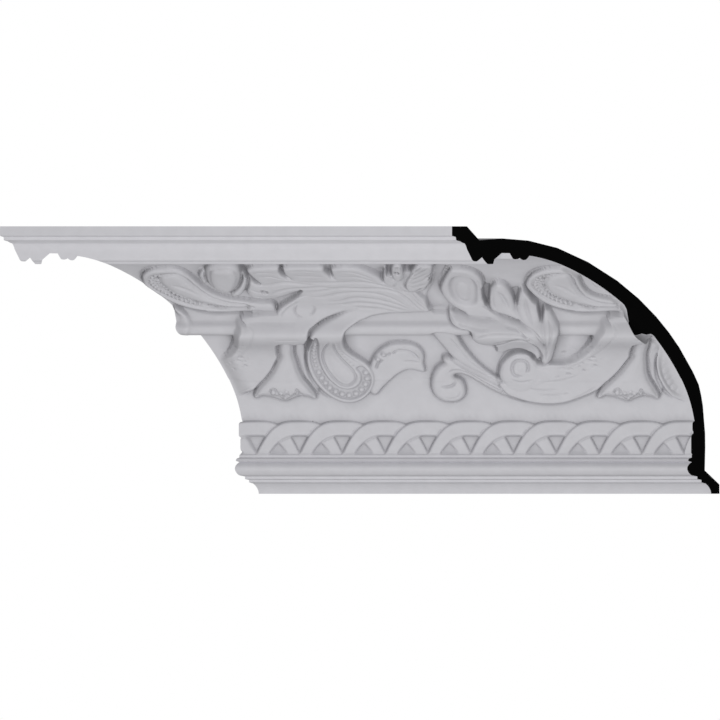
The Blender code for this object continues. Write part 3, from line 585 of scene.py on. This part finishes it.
for line in ([(588, 119), (600, 116.5), (614, 116), (628, 117.5)],
             [(604, 111), (618, 110.5), (634, 111.5)],
             [(596, 127.5), (606, 126.5), (622, 126), (640, 130), (655, 137)],
             [(611, 130), (619, 132.3)], [(622, 130), (628, 132)], [(631, 111.5), (638, 112.8)],
             [(640, 106), (655, 112), (670, 121)]):
    draw_line(line, 1.3, -1.0, 8.5, ride=1.0, taper=0.3)
# small nicks all over the swing of the strap, in rows that climb, no two alike
NICKS = 36
NICKS_IN_ROW = 9
FIRST_NICK = (634, 133)
NICK_STEP = (4.9, 6.2)
NICK_CLIMB = 1.5
for nick in range(NICKS):
    in_row = nick % NICKS_IN_ROW
    x = FIRST_NICK[0] + in_row * NICK_STEP[0] + sin(nick * 5.3) * 1.6
    z = (FIRST_NICK[1] + nick // NICKS_IN_ROW * NICK_STEP[1] + in_row * NICK_CLIMB
         + sin(nick * 3.1) * 1.8)
    reach = 2.4 + 1.3 * sin(nick * 7.7)
    draw_line([(x - reach, z - 0.6), (x, z), (x + reach, z + 1.1 * cos(nick * 2.3))],
              1.3, 1.2 * sin(nick * 4.1 + 0.6) - 0.6, 8.5, ride=1.0, taper=0.3)
raise_shape([(331.5, 208.5), (340, 211), (348.5, 210), (351.5, 206), (348.5, 200.5), (340, 198),
             (332.5, 199), (329.5, 203.5)],
            1.6, edge=2.5, dome=1.0, width=5, ride=0.9, seat=10.0, moat=0.5, join=True)
for line in ([(333, 211.5), (330.5, 205), (332.5, 199.5), (339, 197.6)],
             [(346, 199), (351, 202), (352.8, 206.5), (351.5, 210)]):
    draw_line(line, 1.3, -1.5, 9.5, ride=0.9, taper=0.2)
raise_shape([(561.5, 131), (561.8, 139), (564.5, 147), (569.5, 152.5), (577, 156.5), (586, 157.5),
             (593, 154.5), (599, 148.5), (606, 136), (602, 122), (588, 113), (570, 117)],
            8.0, edge=4, dome=2.5, width=20, join=True)
draw_line([(559, 126), (558, 133), (559, 142), (563, 151), (569, 157), (576, 160.5)],
          2.0, -2.0, 1.0, taper=0.2)
raise_shape([(562, 124), (570, 118.5), (585, 116), (602, 118), (618, 126), (622, 136), (612, 143),
             (600, 141), (596, 128)],
            8.0, edge=5, dome=1.5, width=12, join=True)
draw_line([(586, 131.6), (577.5, 132.5), (574.2, 139), (576.5, 146.5), (584, 149), (590.5, 146.5),
           (592.5, 140), (590, 134.5)], 2.2, -2.3, 10.5, taper=0.1)
raise_shape([(577.8, 139.5), (580, 144), (584.5, 145.3), (588.3, 142.5), (588.3, 137.5),
             (584.5, 134.8), (580, 136)], 9.5, edge=3, dome=1.5, width=4, join=True)
draw_line([(573, 128), (580, 125.4), (588, 125), (598, 127.5)], 1.5, -1.3, 10.5, taper=0.2)
sink_pit([(560, 146), (565, 154.5), (573, 160), (582, 162.6), (590, 162), (597.5, 159),
          (601, 152.5), (598.8, 151), (594, 156.2), (588, 158.8), (581, 159.4), (574, 157.4),
          (567.5, 152.8), (562.5, 147)],
         -1.5, edge=1.6, proud=5.0)

# Bell flower
# A bell hangs from the strap over a narrow leaf, with a small flower at its mouth.
raise_shape([(327, 167), (340, 167), (341.5, 152), (345, 140), (351, 128.5), (357, 119),
             (354.5, 112), (344, 122), (337, 134), (332, 150)],
            2.0, edge=2, dome=0.6, width=5)
draw_line([(334, 164), (335.5, 150), (341, 134)], 1.4, -1.0, 3.0, taper=0.2)
raise_shape([(313.5, 171), (312.8, 160), (314, 154), (310.5, 146), (305.5, 136.5), (298, 127),
             (290, 118.5), (286.5, 111.5), (287, 107.6), (294, 109.8), (303, 109.2),
             (311.5, 107), (320, 104.5), (328, 107.5), (337, 110), (347, 108.8), (353, 107),
             (353, 110.5), (347.5, 118), (339.5, 127.5), (334.5, 137), (331.3, 147), (328.6, 156),
             (326.5, 171)],
            6.0, edge=3.5, dome=4.0, width=12, ride=0.25)
for x, z, radius in ((306.3, 113.8, 2.7), (315, 113.5, 2.4), (321, 115, 2.2), (326, 112.5, 2.2),
                     (320, 107.8, 2.0), (332.5, 113.5, 2.3)):
    set_beads([(x, z), (x + 0.2, z)], radius, 9.0, 8.5, flat=0.5)
for line in ([(302.3, 112), (304, 117), (308.5, 117.5), (310.8, 113)],
             [(308, 109.5), (314.5, 107.5), (318, 104.6)],
             [(311, 111.5), (316, 109.2), (320, 110.5), (325, 110.8)],
             [(322, 105.5), (328, 109.2), (331.5, 113.5), (333, 117.2), (336.5, 112.5),
              (341, 110)]):
    draw_line(line, 1.2, -1.9, 9.0, taper=0.12)

# Hanging comma
# A ribbon turns down out of the acanthus and swells into a comma, with a smooth rim, a row of
# beads inside it and a smooth drop in the middle.
raise_shape([(404, 207.5), (393, 204.5), (380, 199), (368, 193), (359, 187), (352, 180),
             (347.5, 171.5), (345, 160), (344.6, 148), (347.5, 137), (352.5, 127), (359.5, 118.5),
             (368, 111), (377.5, 105.5), (388, 102.4), (398, 103), (407.5, 107.2), (414.5, 114),
             (418.6, 122.5), (419, 130.5), (416, 138), (409.5, 145.3), (401, 150.4), (392, 155.8),
             (386, 162), (383.6, 169.5), (385.2, 177.5), (389.5, 183.5), (396.5, 188.8),
             (405.5, 194.6), (414, 200.2)],
            8.0, edge=3.2, ride=1.0, join=True)
draw_line([(344.5, 165), (343, 152), (345.5, 138), (351.5, 125), (360, 114.5), (372, 106)], 2.0,
          -2.2, 1.5, taper=0.15)
draw_line([(352, 184), (358, 188.5), (368, 194.5), (379, 200), (388, 204)], 1.7, -1.5, 8.5,
          ride=1.0, taper=0.3)
raise_shape([(400, 206), (414, 209), (432, 207), (436, 203), (418, 199.6), (407, 195.2),
             (400, 197)],
            8.0, edge=4, ride=0.9, join=True)
sink_pit([(353.5, 175), (349.6, 165), (347.8, 152), (350.5, 139.5), (356, 128.5), (363.5, 119.5),
          (372.5, 112), (381.5, 107.5), (390, 105.8), (398.5, 106.5), (406.5, 110.5),
          (412.5, 116.5), (415.8, 123.5), (415.8, 130.5), (412.5, 136.8), (406, 142.6),
          (400, 140), (404.8, 133), (404.5, 125.5), (399.5, 119.6), (391, 117.2), (381, 119),
          (371.5, 126), (363.5, 136), (358.6, 147), (357, 158), (357, 168), (355, 175)],
         5.0, edge=2.2, proud=8.0, ride=0.8)
set_beads([(410.2, 135.6), (411.6, 127.4), (407.8, 119.2), (400, 112.6), (389.5, 110.4),
           (379, 113.4), (370, 118.6), (362.4, 127.4), (357.6, 136)], 3.4, 0.6, 7.0, flat=0.9)
set_beads([(354.2, 143.6), (352.4, 151.5), (351.8, 160), (353.4, 169)], 2.3, 0.5, 7.0, ride=0.3)
draw_line([(366.5, 175), (361.5, 165), (359.3, 155), (361.4, 144.6), (366.6, 134), (374, 125),
           (383, 119.3), (391.5, 118.6), (399.5, 122.6), (402.8, 129), (400, 136.5)],
          1.5, 1.0, 8.5, ride=0.4, taper=0.06)
draw_line([(369.5, 175.5), (364, 165), (361.8, 155), (363.8, 145.5), (369, 136), (376, 127.5),
           (383.6, 122.2), (391.5, 121.6), (397.6, 126), (398.4, 132), (394.4, 139.4), (386, 147.5),
           (379, 156), (374.5, 165.5), (373.8, 174)],
          1.6, -2.0, 9.0, ride=0.4, taper=0.05)
raise_shape([(370.5, 172), (366.5, 163), (364.6, 153), (367.4, 143), (373.5, 133.5), (380.5, 126.5),
             (387, 124), (393.4, 126.4), (395.2, 132), (391, 139), (382.5, 147.5), (376.3, 157),
             (373, 166)],
            7.0, edge=2.5, dome=2.2, width=9, ride=0.5, join=True)
# notches down the neck, along its bend
NOTCHES = 11
FIRST_NOTCH = (377.5, 173)
NOTCH_STEP = (2.4, 3.3)
NECK_BEND = 6.0
for step in range(NOTCHES):
    x = FIRST_NOTCH[0] + step * NOTCH_STEP[0] - NECK_BEND * sin(step * 0.29)
    z = FIRST_NOTCH[1] - step * NOTCH_STEP[1]
    draw_line([(x - 1.8, z - 0.4), (x + 1.8, z + 0.6)], 0.9, -1.1, 8.5, ride=0.4, taper=0.3)
draw_line([(381.5, 177), (380.6, 168), (384, 159.5), (392, 152.6), (402, 145.5)], 1.1, -0.8, 8.5,
          ride=0.5, taper=0.15)
sink_pit([(341.2, 166.5), (341.4, 173.5), (344.8, 180.6), (348, 182), (351.5, 180.8), (350, 176.5),
          (346.8, 170.6), (344.4, 163.5)], -5.0, edge=2.2, proud=4.0, ride=0.4)

# Plain ends
# Just before each mitre the carving dies out, so that the sawn end shows the plain section with
# its rib. Low down it dies out over a longer way.
MITRE_FADE = 6.0
LOW_MITRE_FADE = 24.0
LOW_AT_LEFT = 210.0
LOW_AT_RIGHT = 168.0
LOW_BLEND = 12

fade_under = np.where(along < 0, LOW_AT_LEFT, LOW_AT_RIGHT)
fade = MITRE_FADE + (LOW_MITRE_FADE - MITRE_FADE) * smooth((fade_under - cove_height) / LOW_BLEND)
mitre_share = smooth((LENGTH / 2 - np.abs(along)) / fade)
relief = rib + (relief - rib) * mitre_share

# Interlaced band
# Arched straps cross each other along the foot of the cove, 48 mm apart, eight to a repeat. The
# rising leg of each lies over the falling leg of the one before.
PITCH = 48.0
FIRST_STRAP = 4
LAST_STRAP = 18
BAND_TOP = 88.0
# an arched line: the height of its crown, how far it falls, over what reach, by which power
STRAP_TOP = (82.0, 35.3, 47.6, 3.2)
STRAP_UNDERSIDE = (64.6, 18.6, 33.0, 2.7)
STRAP_MARGIN = 6
STRAP_FACE = 31.8
EDGE_ROUND = 3.0
# the face sinks a little along the falling leg, and the leg that lies under sinks at a crossing
FACE_SINKS = 1.8
SINKS_FROM = -6
SINKS_OVER = 26
OVER_UNTIL = 2
UNDER_BY = 2.4
CROSSING_GAP = 1.2
FOOT_BLEND = 2.5

band_rows = cove_height < BAND_TOP
straps = np.zeros_like(relief)


def inside_arch(x, height, arch):
    """How far a point is under an arched line, measured square to the line."""
    crown, fall, reach, power = arch
    slope = fall * power / reach * (np.abs(x) / reach) ** (power - 1)
    return (crown - fall * (np.abs(x) / reach) ** power - height) / np.sqrt(1 + slope ** 2)


for number in range(FIRST_STRAP, LAST_STRAP + 1):
    x = across - PITCH * number
    near = band_rows & (np.abs(x) < STRAP_TOP[2] + STRAP_MARGIN)
    x = x[near]
    under_top = inside_arch(x, cove_height[near], STRAP_TOP)
    over_foot = -inside_arch(x, cove_height[near], STRAP_UNDERSIDE)
    inset = np.minimum(under_top, over_foot)
    face = STRAP_FACE - cove_depth[near] - FACE_SINKS * smooth((x - SINKS_FROM) / SINKS_OVER)
    rounding = np.sqrt(1 - (1 - np.clip(inset / EDGE_ROUND, 0, 1)) ** 2)
    over = (inset > -CROSSING_GAP) & (x < OVER_UNTIL)
    kept = np.where(over, np.minimum(straps[near], face - UNDER_BY), straps[near])
    straps[near] = np.maximum(kept, face * rounding)
straps *= smooth((cove_height - BAND_FLARE[-1][1]) / FOOT_BLEND)
relief = np.where(band_rows, np.maximum(relief, straps), relief)

# Painted shade in the recesses
# This finds how open each place of the sheet is to the air, between 0 and 1, from the slopes around
# it. Where it is low, the primer's colour is darkened as painted shade.
BEARING_STEP = 22.5
REACHES = (1.2, 2.0, 3.0, 4.5, 6.5, 9.0, 12.0)

openness_for_painted_shade = np.zeros_like(relief)
bearings = np.radians(np.arange(0, 360, BEARING_STEP))
column_number = np.indices(relief.shape)[1]
for bearing in bearings:
    steepest = np.zeros_like(relief)
    for reach in REACHES:
        row_there = np.interp(down + reach * sin(bearing), row_travel, np.arange(rows))
        column_there = column_number + reach * cos(bearing) / CELL
        there = relief[np.clip(np.rint(row_there), 0, rows - 1).astype(int),
                       np.clip(np.rint(column_there), 0, columns - 1).astype(int)]
        steepest = np.maximum(steepest, (there - relief) / reach)
    openness_for_painted_shade += 1 / (1 + steepest ** 2) / len(bearings)
# each place is evened out with the four beside it
padded = np.pad(openness_for_painted_shade, 1, mode="edge")
openness_for_painted_shade = (4 * padded[1:-1, 1:-1] + padded[:-2, 1:-1] + padded[2:, 1:-1] + padded[1:-1, :-2]
               + padded[1:-1, 2:]) / 8

# One closed casting
# The carved sheet, the plain members above and below it, the hollow back and the two mitred ends
# are one skin, as the casting is. The foam is about 16 mm thick.
MM = 0.001
WALL_FACE = 10.4
CEILING_FACE = 16.8
BACK_FOOT = ((16.5, 26.2), (15.9, 52.5), (16.1, 68.0), (17.1, 79.8), (18.6, 98.9), (20.6, 111.0))
BACK_CENTRE = (281.9, 13.7)
BACK_RADIUS = 280.6
BACK_ANGLES = (22.8, 26.0, 32.4, 36.6, 41.2, 47.0, 53.4, 61.3, 69.1)
BACK_HEAD = ((214.3, 284.0), (243.3, 286.4), (269.3, 284.4))

lean = 1 - mitre_share
front = np.stack((along - cove_depth - relief * normal_out * lean,
                  -(cove_depth + relief * normal_out), cove_height + relief * normal_up), axis=-1)
back_points = [(foot_points[-1][0], 0.0), (0.0, 0.0), (0.0, WALL_FACE), *BACK_FOOT]
back_points += [on_circle(BACK_CENTRE, BACK_RADIUS, angle) for angle in BACK_ANGLES]
back_points += [*BACK_HEAD, (PROJECTION - CEILING_FACE, DROP)]


def plain_rows(points):
    """A plain member's corners: one at the left mitre and one at the right for each point."""
    points = np.array(points)
    rows_of_two = np.zeros((len(points), 2, 3))
    for column, end in enumerate((-LENGTH / 2, LENGTH / 2)):
        rows_of_two[:, column] = np.column_stack((end - points[:, 0], -points[:, 0], points[:, 1]))
    return rows_of_two


# fine cells where there is carving, larger ones where the sheet bends less than this
MOST_BEND = {2: 0.2, 4: 0.06, 8: 0.02}
bend = np.zeros_like(relief)
bend[1:-1] += np.abs(relief[2:] - 2 * relief[1:-1] + relief[:-2])
bend[:, 1:-1] += np.abs(relief[:, 2:] - 2 * relief[:, 1:-1] + relief[:, :-2])
bend[1:-1, 1:-1] += 0.5 * np.abs(relief[2:, 2:] - relief[2:, :-2] - relief[:-2, 2:]
                                 + relief[:-2, :-2])
cell_rows = rows - 1
cell_columns = columns - 1
size_of = np.ones((cell_rows, cell_columns), dtype=int)
for size, most in MOST_BEND.items():
    tall = cell_rows // size
    wide = cell_columns // size
    worst = np.zeros((tall, wide))
    for i in range(size + 1):
        for j in range(size + 1):
            part = bend[i:i + (tall - 1) * size + 1:size, j:j + (wide - 1) * size + 1:size]
            worst = np.maximum(worst, part)
    whole = size_of[:tall * size, :wide * size].reshape(tall, size, wide, size)
    ready = (whole == size // 2).all(axis=(1, 3)) & (worst < most)
    for i in range(size):
        for j in range(size):
            part = size_of[i:i + (tall - 1) * size + 1:size, j:j + (wide - 1) * size + 1:size]
            part[ready] = size
used = np.zeros((rows, columns), dtype=bool)
blocks = []
for size in (1, *MOST_BEND):
    high, wide = np.nonzero(size_of[::size, ::size] == size)
    high = high * size
    wide = wide * size
    blocks.append((size, high, wide))
    for i, j in ((0, 0), (0, size), (size, 0), (size, size), (size // 2, size // 2)):
        used[high + i, wide + j] = True

# the corners from the ceiling down the front, and on round the foot and up the back
above = plain_rows(top_points)
below = plain_rows(foot_points[1:] + back_points)
number_of = np.cumsum(used.ravel()).reshape(rows, columns) - 1 + 2 * len(above)
below_start = 2 * len(above) + int(used.sum())
corners = np.vstack((above.reshape(-1, 3), front[used], below.reshape(-1, 3)))
corners = (corners - (0, 0, WALL_FACE / 2)) * MM
above_rows = [[2 * row, 2 * row + 1] for row in range(len(above))]
below_rows = [[below_start + 2 * row, below_start + 2 * row + 1] for row in range(len(below))]


def between(rows_of_two):
    """One long face between each plain row and the next."""
    return [(upper[0], lower[0], lower[1], upper[1])
            for upper, lower in zip(rows_of_two, rows_of_two[1:])]


def stitch(plain_row, sheet_row, turned):
    """Join the two corners of a plain row to the many along the edge of the carved sheet."""
    left, right = plain_row
    edge_row = number_of[sheet_row][used[sheet_row]].tolist()
    middle = len(edge_row) // 2
    joins = [(left, a, b) for a, b in zip(edge_row[:middle], edge_row[1:middle + 1])]
    joins.append((left, edge_row[middle], right))
    joins += [(right, a, b) for a, b in zip(edge_row[middle:], edge_row[middle + 1:])]
    return [(a, c, b) for a, b, c in joins] if turned else joins


faces = between(above_rows) + stitch(above_rows[-1], 0, False)
for size, high, wide in blocks:
    if size == 1:
        quads = np.stack((number_of[high, wide], number_of[high + 1, wide],
                          number_of[high + 1, wide + 1], number_of[high, wide + 1]), axis=-1)
        faces += quads.tolist()
        continue
    steps = range(size)
    ring = ([(i, 0) for i in steps] + [(size, j) for j in steps]
            + [(size - i, size) for i in steps] + [(0, size - j) for j in steps])
    for row, column in zip(high.tolist(), wide.tolist()):
        rim = [int(number_of[row + i, column + j]) for i, j in ring if used[row + i, column + j]]
        hub = int(number_of[row + size // 2, column + size // 2])
        faces += [(a, b, hub) for a, b in zip(rim, rim[1:] + rim[:1])]
faces += stitch(below_rows[0], -1, True) + between(below_rows + above_rows[:1])
ends = [[row[side] for row in above_rows] + number_of[:, side][used[:, side]].tolist()
        + [row[side] for row in below_rows] for side in (0, -1)]
faces += [ends[0][::-1], ends[1]]


def make_solid(name, corners, faces, in_triangles):
    """A closed solid with its faces turned outwards."""
    mesh = bpy.data.meshes.new(name)
    mesh.from_pydata(corners, [], faces)
    work = bmesh.new()
    work.from_mesh(mesh)
    bmesh.ops.recalc_face_normals(work, faces=work.faces)
    if in_triangles:
        bmesh.ops.triangulate(work, faces=work.faces)
    work.to_mesh(mesh)
    work.free()
    solid = bpy.data.objects.new(name, mesh)
    bpy.context.scene.collection.objects.link(solid)
    return solid


moulding = make_solid("moulded_casting", corners.tolist(), faces, True)
bpy.ops.object.select_all(action="DESELECT")
moulding.select_set(True)
bpy.context.view_layer.objects.active = moulding

# The coped end
# At the left the lip is sawn away along the line of the section, right through, so that it would
# fit over the lip of the next length. The saw is a solid, and it is cut out of the casting.
COPE_GAP = 0.3
COPE_DEPTH = 274.5
COPE_TOP = 285.0
COPE_FOOT = 256.5
SAW_FOOT = 252.0
SAW_SIDE = 1.0
SAW_STEP = 12
SAW_RUN = (-0.32, 0.02)

saw_line = [(PROJECTION - depth, height - COPE_GAP) for depth, height in top_points
            if depth < COPE_DEPTH and height < COPE_TOP]
saw_line += [(PROJECTION - depth, height - COPE_GAP)
             for depth, height in cove_points[:-1:SAW_STEP] if height > COPE_FOOT]
saw_left = saw_line[0][0] - SAW_SIDE
saw_line += [(saw_line[-1][0], SAW_FOOT), (saw_left, SAW_FOOT), (saw_left, saw_line[0][1])]
count = len(saw_line)
saw_corners = [((x - ELEVATION_ORIGIN) * MM, y, (z - WALL_FACE / 2) * MM)
               for y in SAW_RUN for x, z in saw_line]
saw_faces = [tuple(range(count)), tuple(range(2 * count - 1, count - 1, -1))]
saw_faces += [(i, i + count, (i + 1) % count + count, (i + 1) % count) for i in range(count)]
saw_cut = make_solid("saw_cut", saw_corners, saw_faces, False)
cope = moulding.modifiers.new("cope", "BOOLEAN")
cope.object = saw_cut
cope.operation = "DIFFERENCE"
cope.solver = "EXACT"
bpy.ops.object.modifier_apply(modifier=cope.name)
bpy.data.objects.remove(saw_cut)

# Crisp and soft edges
# The plain members and the sawn ends have crisp arrises. The carving is soft, as cast foam is, so
# its corners take the slope of the carved sheet, which is finer than its facets.
ARRIS = radians(24)
MARGIN = 0.2
SAME_SPOT = 0.00002
MITRE_SLOPE = 0.7071
MITRE_SLACK = 0.001
PLAIN_TOP = -(top_points[-1][0] - MARGIN) * MM
PLAIN_FOOT = (BAND_FLARE[-1][1] - WALL_FACE / 2) * MM


def on_mitre(face, slack):
    """Whether a face lies in one of the two mitres."""
    return abs(abs(face.normal.x) - MITRE_SLOPE) < slack and abs(face.normal.z) < slack


skin = moulding.data
skin.shade_smooth()
work = bmesh.new()
work.from_mesh(skin)
for edge in work.edges:
    if len(edge.link_faces) != 2:
        continue
    at_end = any(on_mitre(face, MITRE_SLACK) for face in edge.link_faces)
    plain = (all(corner.co.y < PLAIN_TOP for corner in edge.verts)
             or all(corner.co.z < PLAIN_FOOT + MARGIN * MM for corner in edge.verts))
    if (plain or at_end) and edge.calc_face_angle(0.0) > ARRIS:
        edge.smooth = False
work.to_mesh(skin)
work.free()

run_across = np.gradient(front, axis=1)
run_down = np.gradient(front, axis=0)
sheet_normals = np.cross(run_down, run_across)
sheet_normals /= np.linalg.norm(sheet_normals, axis=-1, keepdims=True)
inner = used.copy()
inner[[0, -1]] = False
inner[:, [0, -1]] = False
inner_normals = sheet_normals[inner]
inner_openness_for_shade = openness_for_painted_shade[inner]
sheet = KDTree(int(inner.sum()))
for number, spot in enumerate(((front[inner] - (0, 0, WALL_FACE / 2)) * MM).tolist()):
    sheet.insert(spot, number)
sheet.balance()
source = np.full(len(skin.vertices), -1)
for vertex in skin.vertices:
    spot, number, away = sheet.find(vertex.co)
    if away < SAME_SPOT:
        source[vertex.index] = number
shading = np.zeros(3 * len(skin.loops))
skin.corner_normals.foreach_get("vector", shading)
shading = shading.reshape(-1, 3)
corner_of = np.zeros(len(skin.loops), dtype=int)
skin.loops.foreach_get("vertex_index", corner_of)
# the openness is kept on each corner, so the primer can be darkened there as painted shade
painted_shade_attribute = skin.attributes.new("openness_for_painted_shade", "FLOAT", "POINT")
painted_shade_attribute.data.foreach_set("value", np.where(source >= 0, inner_openness_for_shade[source], 1.0))
source = source[corner_of]
shading[source >= 0] = inner_normals[source[source >= 0]]
skin.normals_split_custom_set(shading.tolist())

# Primed finish
# The foam is sprayed with an off-white primer that dries to a low, slightly uneven sheen. Its
# colour is darkened in the recesses as painted shade. The sawn mitres are dark.
FULL_COAT = (0.68, 0.675, 0.708, 1.0)
LEAN_COAT = (0.655, 0.65, 0.682, 1.0)
# painted shade: the grey of the least open places, the openness below which it is full, and above
# which there is none
PAINTED_SHADE_GREY = (0.37, 0.366, 0.387, 1.0)
FULL_SHADE_BELOW = 0.30
NO_SHADE_ABOVE = 0.98
PRIMER_SPECULAR = 0.35
SHEEN = (0.5, 0.64)
# each kind of unevenness: how fine it is and how detailed
MOTTLE = (70.0, 4.0)
UNEVEN_SHEEN = (240.0, 3.0)
SPRAY_GRAIN = (900.0, 2.0)
GRAIN_STRENGTH = 0.12
GRAIN_HEIGHT = 0.0002
SAWN_BLACK = (0.004, 0.004, 0.004, 1.0)
SAWN_ROUGHNESS = 0.95

primer = bpy.data.materials.new("off_white_primer")
primer.use_nodes = True
nodes = primer.node_tree.nodes
links = primer.node_tree.links
shader = nodes["Principled BSDF"]
shader.inputs["Specular IOR Level"].default_value = PRIMER_SPECULAR


def add_noise(scale, detail):
    """Fine noise on the piece's own coordinates."""
    noise = nodes.new("ShaderNodeTexNoise")
    noise.inputs["Scale"].default_value = scale
    noise.inputs["Detail"].default_value = detail
    links.new(where.outputs["Object"], noise.inputs["Vector"])
    return noise.outputs["Fac"]


def add_range(value, low, high, start, end):
    """Map a value between two limits onto a start and an end."""
    spread = nodes.new("ShaderNodeMapRange")
    for name, number in (("From Min", low), ("From Max", high), ("To Min", start), ("To Max", end)):
        spread.inputs[name].default_value = number
    links.new(value, spread.inputs["Value"])
    return spread.outputs["Result"]


def mix_colours(share, first, second):
    """The first colour where the share is 0, and the second where it is 1."""
    mixed = nodes.new("ShaderNodeMix")
    mixed.data_type = "RGBA"
    links.new(share, mixed.inputs["Factor"])
    for socket, colour in (("A", first), ("B", second)):
        slot = next(s for s in mixed.inputs if s.name == socket and s.type == "RGBA")
        if isinstance(colour, tuple):
            slot.default_value = colour
        else:
            links.new(colour, slot)
    return next(s for s in mixed.outputs if s.type == "RGBA")


where = nodes.new("ShaderNodeTexCoord")
painted_shade_source = nodes.new("ShaderNodeAttribute")
painted_shade_source.attribute_name = "openness_for_painted_shade"
# painted shade: the sprayed colour turns towards the grey where the sheet is less open to the air
painted_shade_mix = add_range(painted_shade_source.outputs["Fac"], FULL_SHADE_BELOW, NO_SHADE_ABOVE, 0.0, 1.0)
mottle = add_range(add_noise(*MOTTLE), 0.35, 0.65, 0.0, 1.0)
sprayed = mix_colours(mottle, LEAN_COAT, FULL_COAT)
links.new(mix_colours(painted_shade_mix, PAINTED_SHADE_GREY, sprayed), shader.inputs["Base Color"])
links.new(add_range(add_noise(*UNEVEN_SHEEN), 0.3, 0.7, *SHEEN), shader.inputs["Roughness"])
spray = nodes.new("ShaderNodeBump")
spray.inputs["Strength"].default_value = GRAIN_STRENGTH
spray.inputs["Distance"].default_value = GRAIN_HEIGHT
links.new(add_noise(*SPRAY_GRAIN), spray.inputs["Height"])
links.new(spray.outputs["Normal"], shader.inputs["Normal"])
skin.materials.append(primer)

cut_face = bpy.data.materials.new("sawn_mitre")
cut_face.use_nodes = True
cut_shader = cut_face.node_tree.nodes["Principled BSDF"]
cut_shader.inputs["Base Color"].default_value = SAWN_BLACK
cut_shader.inputs["Roughness"].default_value = SAWN_ROUGHNESS
cut_shader.inputs["Specular IOR Level"].default_value = 0.0
skin.materials.append(cut_face)
for face in skin.polygons:
    if on_mitre(face, 2 * MITRE_SLACK):
        face.material_index = 1

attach(moulding, "root")
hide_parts("crown_moulding")

# Room
# The moulding hangs well above a plain pale floor, before a plain white backdrop. The light is
# soft and comes from the front and from below, where the hollow of the cove faces.
FLOOR_LEVEL = -1.5
FLOOR_SIDE = 60.0
FLOOR_PALE = (0.9, 0.9, 0.9, 1.0)
# in pixels: the side of the photo, the moulding's height in it, and the line of its foot
PHOTO_SIDE = 720
PHOTO_HEIGHT = 267.5
PHOTO_FOOT = 493.8
EYE_AWAY = 1.2
SOFTBOX_SIZE = (2.2, 0.8)
SOFTBOX_AIM = (-0.15, -0.1, 0.13)
BACKDROP = ((1.0, 1.0, 1.0, 1.0), 1.0)
FILL = ((1.0, 1.0, 1.0, 1.0), 0.22)

bpy.ops.object.select_all(action="DESELECT")
bpy.ops.mesh.primitive_plane_add(size=FLOOR_SIDE, location=(0.0, 0.0, FLOOR_LEVEL))
floor = bpy.context.object
floor.name = "floor"
pale = bpy.data.materials.new("pale_floor")
pale.use_nodes = True
pale.node_tree.nodes["Principled BSDF"].inputs["Base Color"].default_value = FLOOR_PALE
floor.data.materials.append(pale)

width_seen = PHOTO_SIDE * DROP / PHOTO_HEIGHT * MM
middle_seen = (PHOTO_FOOT - PHOTO_SIDE / 2) * DROP / PHOTO_HEIGHT
eye = bpy.data.cameras.new("eye")
eye.type = "ORTHO"
eye.ortho_scale = width_seen
camera = bpy.data.objects.new("eye", eye)
bpy.context.scene.collection.objects.link(camera)
camera.location = (width_seen / 2 - ELEVATION_ORIGIN * MM, -EYE_AWAY,
                   (middle_seen - WALL_FACE / 2) * MM)
camera.rotation_euler = (radians(90), 0.0, 0.0)
bpy.context.scene.camera = camera


def add_softbox(name, place, power):
    light = bpy.data.lights.new(name, "AREA")
    light.shape = "RECTANGLE"
    light.size, light.size_y = SOFTBOX_SIZE
    light.energy = power
    softbox = bpy.data.objects.new(name, light)
    bpy.context.scene.collection.objects.link(softbox)
    softbox.location = place
    facing = Vector(SOFTBOX_AIM) - Vector(place)
    softbox.rotation_euler = facing.to_track_quat("-Z", "Y").to_euler()


add_softbox("low_softbox", (0.0, -2.1, -0.6), 17.2)
add_softbox("front_softbox", (-0.1, -2.4, 0.0), 13.4)

# the eye sees the bright backdrop, and the moulding is lit by the dimmer fill
world = bpy.data.worlds.new("studio")
bpy.context.scene.world = world
world.use_nodes = True
sky = world.node_tree.nodes
sky_links = world.node_tree.links
backdrop = sky["Background"]
fill = sky.new("ShaderNodeBackground")
for glow, (colour, strength) in ((backdrop, BACKDROP), (fill, FILL)):
    glow.inputs["Color"].default_value = colour
    glow.inputs["Strength"].default_value = strength
seen = sky.new("ShaderNodeLightPath")
either = sky.new("ShaderNodeMixShader")
sky_links.new(seen.outputs["Is Camera Ray"], either.inputs["Fac"])
sky_links.new(fill.outputs["Background"], either.inputs[1])
sky_links.new(backdrop.outputs["Background"], either.inputs[2])
sky_links.new(either.outputs["Shader"], sky["World Output"].inputs["Surface"])
bpy.context.scene.view_settings.view_transform = "Standard"
